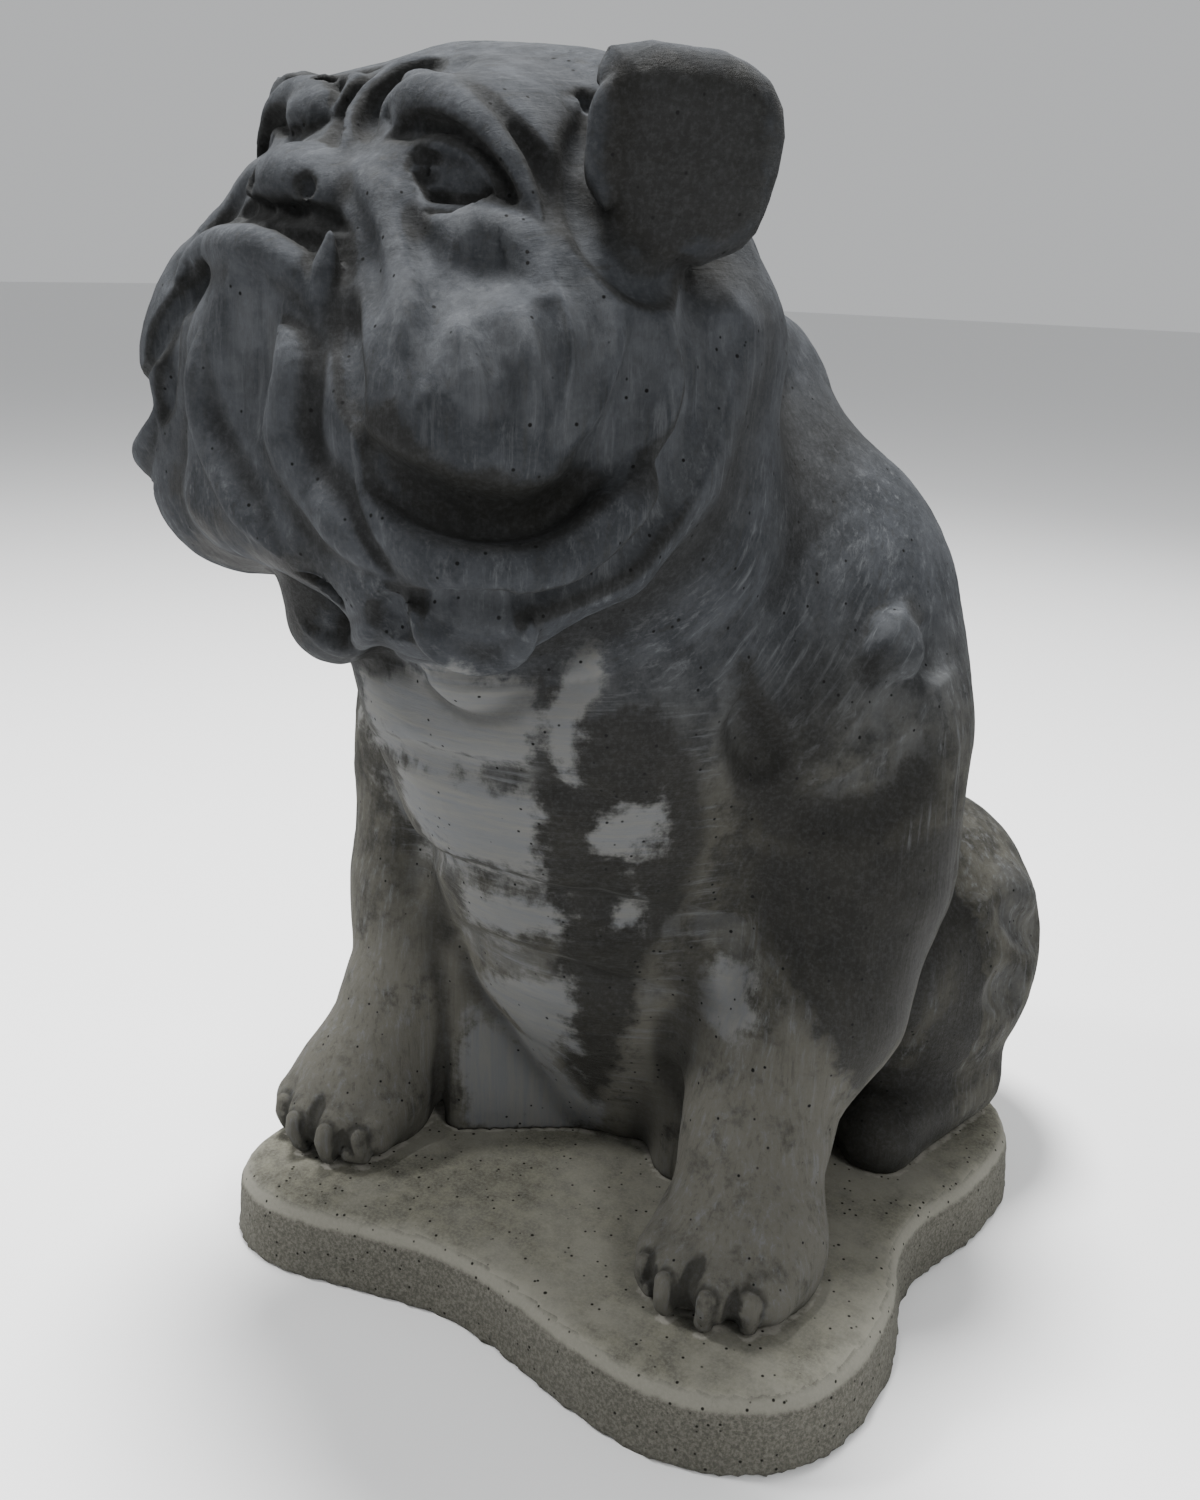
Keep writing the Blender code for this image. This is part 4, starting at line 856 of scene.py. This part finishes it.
def buildDog():
    dogField = makeDogField(bedGap)
    print("form prepared")
    eyes, face, coarse = dogSkin["eyes"], dogSkin["face"], dogSkin["coarse"]
    planes = [
        stretch([-41, -25, -18, -7, 7, 18, 25, 41], [coarse, face, eyes, face, eyes, face, coarse]),
        stretch([-52, -46, -34, -22, 45], [face, eyes, face, coarse]),
        stretch([bedGap - 0.2, 8, 60, 80, 92, 104], [face, coarse, face, eyes, face]),
    ]
    points, quads = skin(dogField, planes)
    points, quads = largestPiece(points, quads)
    print("skin", len(points))
    points = settle(dogField, points, 2, dogSkin["cell"])
    normals = skinNormals(points, quads)
    marks = {
        # how deep in folds each point lies, for the painted shade
        "fold": shelter(dogField, points, normals, dogSkin["fold"]),
        # the same for narrow creases: painted shade in them, chalk wear and a painted highlight on
        # ridges
        "crease": shelter(dogField, points, normals, dogSkin["crease"]),
        "pale": placeMarks(points, normals, palePlaces),
        # damp stains and painted shade
        "dampAndShade": placeMarks(points, normals, dampAndShadePlaces),
        "level": placeMarks(points, normals, levelPlaces),
        "high": points[:, 2] / 100,
        **grainMarks(points),
    }
    (lump, lumpSize), (grit, gritSize) = dogSkin["lumps"], dogSkin["grain"]
    relief = lump * noiseAt(points, lumpSize) + grit * noiseAt(points, gritSize, 2)
    standing = np.clip(points[:, 2] / 2 - 0.2, 0, 1)
    points = points + normals * (relief * standing)[:, None]
    points[:, 2] = np.maximum(points[:, 2], bedGap)
    piece = meshPiece("dogFigure", points, quads, marks, dogSkin["triangles"])
    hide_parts("bulldog")
    return piece, dogField


slabSizes = {"margin": 0.035 / unit - 0.37, "depth": slabTop / unit, "lean": 1.0, "wear": 1.15,
             "cell": 0.62, "lumps": (0.13, 5.0), "grain": (0.1, 1.3), "triangles": 190000}
slabEdge = edgeLine(slabSizes["margin"])


def slabField(p):
    # the slab's outline is level, so one distance across serves for all heights
    across = outlineDistance(p[:, :2], slabEdge)
    middle = -slabSizes["depth"] / 2
    upDown = np.abs(p[:, 2] - middle) - slabSizes["depth"] / 2
    ridgeWearAndHighlight = across - slabSizes["lean"] * (middle - p[:, 2]) * 0.1
    flat = np.maximum(ridgeWearAndHighlight, upDown)
    bevel = (ridgeWearAndHighlight + p[:, 2]) * 0.7071 + slabSizes["wear"] * 0.62
    return softMax(flat, bevel, 0.9)


def buildSlab(dogField):
    cell = slabSizes["cell"]
    heights = [-slabSizes["depth"] - cell / 2, cell / 2]
    planes = [stretch(stops, [cell]) for stops in ([-36, 40], [-38, 42], heights)]
    points, quads = skin(slabField, planes)
    points = settle(slabField, points, 1, 0.6)
    normals = skinNormals(points, quads)
    across = np.clip(-points[:, 2] / 1.5, 0, 1)
    (lump, lumpSize), (grit, gritSize) = slabSizes["lumps"], slabSizes["grain"]
    relief = lump * noiseAt(points, lumpSize) + grit * noiseAt(points, gritSize)
    points = points + normals * (relief * across - 0.1 * across)[:, None]
    under = points[:, 2] < -slabSizes["depth"] + 0.02
    points[:, 2] = np.clip(points[:, 2], -slabSizes["depth"], 0)
    upper = points[:, 2] > -0.1
    mortar = np.zeros(len(points))
    gap = inParallel(dogField, points[upper] * [1, 1, 0] + [0, 0, 0.5])
    mortar[upper] = np.clip(1 - np.abs(gap) / 1.1, 0, 1)
    marks = {
        # the band round the upper edge that takes the painted highlight
        "edgeHighlight": np.clip(1 - np.abs(points[:, 2] + 0.9) / 1.3, 0, 1) * ~under,
        "mortar": mortar,
        "top": (points[:, 2] > -0.35).astype(float),
    }
    piece = meshPiece("slabCast", points, quads, marks, slabSizes["triangles"])
    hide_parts("base_slab")
    return piece


class Sheet:
    # a material's node tree with short ways to add to it
    def __init__(self, name, roughness):
        self.material = bpy.data.materials.new(name)
        self.material.use_nodes = True
        self.tree = self.material.node_tree
        self.shader = self.tree.nodes["Principled BSDF"]
        self.shader.inputs["Roughness"].default_value = roughness
        self.shader.inputs["Specular IOR Level"].default_value = 0.08
        self.place = self.tree.nodes.new("ShaderNodeTexCoord").outputs["Object"]

    def node(self, kind, sockets, **facts):
        node = self.tree.nodes.new(kind)
        for fact, value in facts.items():
            setattr(node, fact, value)
        for socket, value in sockets.items():
            if isinstance(value, bpy.types.NodeSocket):
                self.tree.links.new(value, node.inputs[socket])
            else:
                node.inputs[socket].default_value = value
        return node

    def mark(self, name):
        return self.node("ShaderNodeAttribute", {}, attribute_name=name).outputs["Fac"]

    def way(self, name):
        return self.node("ShaderNodeAttribute", {}, attribute_name=name).outputs["Vector"]

    def cloud(self, scale, detail=6.0, rough=0.6, spread=(1, 1, 1), twist=0.0, along=None):
        sockets = {"Vector": along or self.place, "Scale": spread}
        place = self.node("ShaderNodeMapping", sockets).outputs[0]
        sockets = {"Vector": place, "Scale": scale, "Detail": detail, "Roughness": rough,
                   "Distortion": twist}
        return self.node("ShaderNodeTexNoise", sockets).outputs[0]

    def ramp(self, value, low, high, to=(0.0, 1.0)):
        sockets = {"Value": value, "From Min": low, "From Max": high}
        sockets.update({"To Min": to[0], "To Max": to[1]})
        return self.node("ShaderNodeMapRange", sockets, interpolation_type="SMOOTHSTEP").outputs[0]

    def sum(self, a, b, operation="ADD"):
        return self.node("ShaderNodeMath", {0: a, 1: b}, operation=operation).outputs[0]

    def times(self, a, b):
        return self.sum(a, b, "MULTIPLY")

    def mix(self, share, a, b, blend="MIX"):
        node = self.node("ShaderNodeMix", {0: share}, data_type="RGBA", blend_type=blend)
        for socket, value in ((6, a), (7, b)):
            if isinstance(value, bpy.types.NodeSocket):
                self.tree.links.new(value, node.inputs[socket])
            else:
                node.inputs[socket].default_value = (*value, 1)
        return node.outputs[2]

    def pores(self, scale, size, share):
        # round pinholes of one size in some of the cells
        sockets = {"Vector": self.place, "Scale": scale, "Randomness": 1.0}
        cells = self.node("ShaderNodeTexVoronoi", sockets)
        hole = self.ramp(cells.outputs["Distance"], size, size * 0.5)
        split = self.node("ShaderNodeSeparateColor", {0: cells.outputs["Color"]})
        chosen = self.ramp(split.outputs[0], share + 0.01, share)
        return self.times(hole, chosen)

    def bumps(self, layers):
        normal = None
        for height, strength, depth in layers:
            sockets = {"Height": height, "Strength": strength, "Distance": depth}
            if normal is not None:
                sockets["Normal"] = normal
            normal = self.node("ShaderNodeBump", sockets).outputs[0]
        self.tree.links.new(normal, self.shader.inputs["Normal"])

    def paint(self, colour, rough=None):
        self.tree.links.new(colour, self.shader.inputs["Base Color"])
        if rough is not None:
            self.tree.links.new(rough, self.shader.inputs["Roughness"])


dogTones = {
    "dark": (0.022, 0.024, 0.027),
    "blue": (0.042, 0.045, 0.050),
    "brown": (0.055, 0.053, 0.044),
    "black": (0.021, 0.0205, 0.0175),
    "olive": (0.080, 0.077, 0.065),
    "pale": (0.122, 0.121, 0.113),
    "chalk": (0.105, 0.109, 0.114),
    # near black, for damp stains and for painted shade
    "dampAndShade": (0.011, 0.0108, 0.0095),
    "pit": (0.006, 0.006, 0.006),
}


# Clouds are scale, detail and roughness, pores are scale, size and share of cells, and bumps are
# strength and depth in metres
dogFinish = {
    "rough": 0.86, "dampAndShadeRough": 0.6,
    "middling": (30, 8, 0.68), "fine": (260, 4, 0.7), "brush": (150, 9, 0.74),
    "upright": (1, 1, 0.06), "level": (0.09, 0.09, 1), "twist": 0.3,
    "pinholes": (105, 0.17, 0.25), "holes": (45, 0.09, 0.2),
    "hairBump": (0.6, 0.0022), "middlingBump": (0.3, 0.003), "fineBump": (0.25, 0.0004),
    "pitBump": (-0.8, 0.002),
}


def dogConcrete():
    s = Sheet("dogConcrete", dogFinish["rough"])
    middling, fine = s.cloud(*dogFinish["middling"]), s.cloud(*dogFinish["fine"])
    brush, twist, straight = dogFinish["brush"], dogFinish["twist"], (1, 1, 1)
    upright = s.cloud(*brush, dogFinish["upright"], twist)
    level = s.cloud(*brush, dogFinish["level"], twist)
    around = s.cloud(*brush, straight, twist, s.way("around"))
    lengthwise = s.cloud(*brush, straight, twist, s.way("lengthwise"))
    hair = upright
    for mark, other in (("ring", around), ("crown", lengthwise), ("level", level)):
        hair = s.node("ShaderNodeMix", {0: s.mark(mark), 2: hair, 3: other}).outputs[0]
    drips = s.cloud(60, 5, 0.65, (1, 1, 0.14), 0.2)
    high, crease = s.mark("high"), s.mark("crease")
    # a dark blue head, a browner trunk, and olive legs in front
    blotches = s.ramp(middling, 0.36, 0.66)
    head = s.mix(blotches, dogTones["dark"], dogTones["blue"])
    trunk = s.mix(blotches, dogTones["black"], dogTones["brown"])
    colour = s.mix(s.ramp(high, 0.62, 0.42), head, trunk)
    legs = s.times(s.ramp(high, 0.33, 0.16), s.ramp(middling, 0.24, 0.5))
    legs = s.times(legs, s.mark("front"))
    colour = s.mix(s.times(legs, 0.9), colour, dogTones["olive"])
    # light and black marks of the brush, and chalk wear with a painted highlight where the surface
    # stands proud
    streaks = s.ramp(high, 0.82, 0.66, (0.25, 0.6))
    colour = s.mix(s.times(s.ramp(hair, 0.5, 0.7), streaks), colour, dogTones["chalk"])
    colour = s.mix(s.ramp(hair, 0.48, 0.32, (0.0, 0.45)), colour, dogTones["black"])
    ridgeWearAndHighlight = s.times(s.ramp(crease, 0.0, -0.2), s.ramp(drips, 0.3, 0.6))
    colour = s.mix(s.times(ridgeWearAndHighlight, 0.2), colour, dogTones["chalk"])
    # the damp stains and painted shade, and the pale places, with ragged edges
    ragged = s.sum(s.times(middling, 1.8), s.times(hair, 0.4))
    dampAndShade = s.sum(s.mark("dampAndShade"), ragged)
    colour = s.mix(s.ramp(dampAndShade, 1.35, 1.75, (0, 0.85)), colour, dogTones["dampAndShade"])
    pale = s.sum(s.mark("pale"), ragged)
    brushed = s.mix(s.ramp(hair, 0.35, 0.65), dogTones["chalk"], dogTones["pale"])
    colour = s.mix(s.ramp(pale, 1.4, 1.8, (0, 0.92)), colour, brushed)
    # painted shade, with some dirt, in folds and creases, then sand grains and pinholes
    shaded = s.ramp(high, 0.25, 0.45, (0.1, 0.5))
    paintedFoldShade = s.times(s.ramp(s.mark("fold"), 0.12, 0.7), shaded)
    colour = s.mix(paintedFoldShade, colour, dogTones["dampAndShade"])
    colour = s.mix(s.ramp(crease, 0.01, 0.28, (0.0, 0.7)), colour, dogTones["dampAndShade"])
    colour = s.mix(s.ramp(fine, 0.4, 0.75, (0.0, 0.12)), colour, dogTones["chalk"])
    pits = s.sum(s.pores(*dogFinish["pinholes"]), s.pores(*dogFinish["holes"]), "MAXIMUM")
    colour = s.mix(pits, colour, dogTones["pit"])
    s.paint(colour, s.ramp(dampAndShade, 1.35, 1.75, (dogFinish["rough"], dogFinish["dampAndShadeRough"])))
    s.bumps([(hair, *dogFinish["hairBump"]), (middling, *dogFinish["middlingBump"]),
             (fine, *dogFinish["fineBump"]), (pits, *dogFinish["pitBump"])])
    return s.material


slabTones = {
    "mud": (0.072, 0.070, 0.057),
    "olive": (0.14, 0.135, 0.105),
    "sand": (0.20, 0.195, 0.165),
    "side": (0.048, 0.046, 0.040),
    "mortar": (0.26, 0.25, 0.22),
    "pit": (0.012, 0.011, 0.009),
}


slabFinish = {
    "rough": 0.9, "wide": (9, 5), "middling": (55, 8, 0.7), "fine": (330, 4, 0.75),
    "pinholes": (130, 0.22, 0.35), "holes": (60, 0.13, 0.2),
    "middlingBump": (0.4, 0.003), "fineBump": (0.4, 0.0007), "pitBump": (-0.9, 0.003),
}


def slabConcrete():
    s = Sheet("slabConcrete", slabFinish["rough"])
    wide, middling, fine = (s.cloud(*slabFinish[size]) for size in ("wide", "middling", "fine"))
    colour = s.mix(s.ramp(middling, 0.35, 0.68), slabTones["mud"], slabTones["olive"])
    colour = s.mix(s.ramp(wide, 0.4, 0.66, (0, 0.7)), colour, slabTones["sand"])
    sides = s.ramp(s.mark("top"), 0.6, 0.4)
    below = s.mix(s.ramp(middling, 0.35, 0.65), dogTones["brown"], slabTones["side"])
    colour = s.mix(s.times(sides, 0.85), colour, below)
    # a pale sandy band round the slab's upper edge, a painted highlight
    edgeHighlight = s.sum(s.mark("edgeHighlight"), s.times(middling, 0.6))
    colour = s.mix(s.ramp(edgeHighlight, 0.65, 1.1, (0, 0.75)), colour, slabTones["sand"])
    mortar = s.sum(s.mark("mortar"), middling)
    colour = s.mix(s.ramp(mortar, 1.2, 1.45), colour, slabTones["mortar"])
    colour = s.mix(s.ramp(fine, 0.35, 0.7, (0.0, 0.5)), colour, slabTones["sand"])
    pits = s.sum(s.pores(*slabFinish["pinholes"]), s.pores(*slabFinish["holes"]), "MAXIMUM")
    colour = s.mix(pits, colour, slabTones["pit"])
    s.paint(colour)
    s.bumps([(middling, *slabFinish["middlingBump"]), (fine, *slabFinish["fineBump"]),
             (pits, *slabFinish["pitBump"])])
    return s.material


dog, dogField = buildDog()
dog.data.materials.append(dogConcrete())
slab = buildSlab(dogField)
slab.data.materials.append(slabConcrete())
print("pieces built")


def buildFloor():
    mesh = bpy.data.meshes.new("floor")
    mesh.from_pydata([(-30, -30, 0), (30, -30, 0), (30, 30, 0), (-30, 30, 0)], [], [(0, 1, 2, 3)])
    floor = bpy.data.objects.new("floor", mesh)
    bpy.context.collection.objects.link(floor)
    s = Sheet("paleFloor", 0.9)
    s.shader.inputs["Base Color"].default_value = (0.8, 0.8, 0.8, 1)
    mesh.materials.append(s.material)


lamps = {
    "overhead": {"place": (-0.4, 0.0, 3.3), "size": 0.8, "power": 280},
    "leftSide": {"place": (-2.9, -1.4, 2.8), "size": 0.7, "power": 110},
    "rightSide": {"place": (2.9, -1.6, 2.6), "size": 1.2, "power": 55},
    "behind": {"place": (0.4, 2.8, 2.6), "size": 2.0, "power": 60},
}
world = {"colour": (0.97, 0.985, 1.0), "strength": 0.58}


def addLight():
    # soft round lamps that look at the dog's middle, and a pale sky
    target = Vector((0, 0, 0.5))
    for name, facts in lamps.items():
        lamp = bpy.data.lights.new(name, "AREA")
        lamp.shape, lamp.size, lamp.energy = "DISK", facts["size"], facts["power"]
        thing = bpy.data.objects.new(name, lamp)
        thing.location = facts["place"]
        thing.rotation_mode = "QUATERNION"
        thing.rotation_quaternion = (target - Vector(facts["place"])).to_track_quat("-Z", "Y")
        bpy.context.collection.objects.link(thing)
    sky = bpy.data.worlds.new("studio")
    sky.use_nodes = True
    back = sky.node_tree.nodes["Background"]
    back.inputs["Color"].default_value = (*world["colour"], 1)
    back.inputs["Strength"].default_value = world["strength"]
    bpy.context.scene.world = sky


def addCamera():
    # the camera stands at the lens place that the folds were drawn from
    camera = bpy.data.cameras.new("camera")
    camera.sensor_fit, camera.sensor_height = "VERTICAL", 36
    camera.lens = lens["reach"] * camera.sensor_height / (2 * lens["middle"][1])
    camera.clip_start = 0.05
    thing = bpy.data.objects.new("camera", camera)
    bpy.context.collection.objects.link(thing)
    ahead, across, up = lensAxes()
    place = np.array(lens["place"]) * unit + [0, 0, slabTop]
    pose = np.eye(4)
    pose[:3] = np.stack([across, up, -ahead, place], 1)
    thing.matrix_world = Matrix(pose.tolist())
    bpy.context.scene.camera = thing


buildFloor()
addLight()
addCamera()
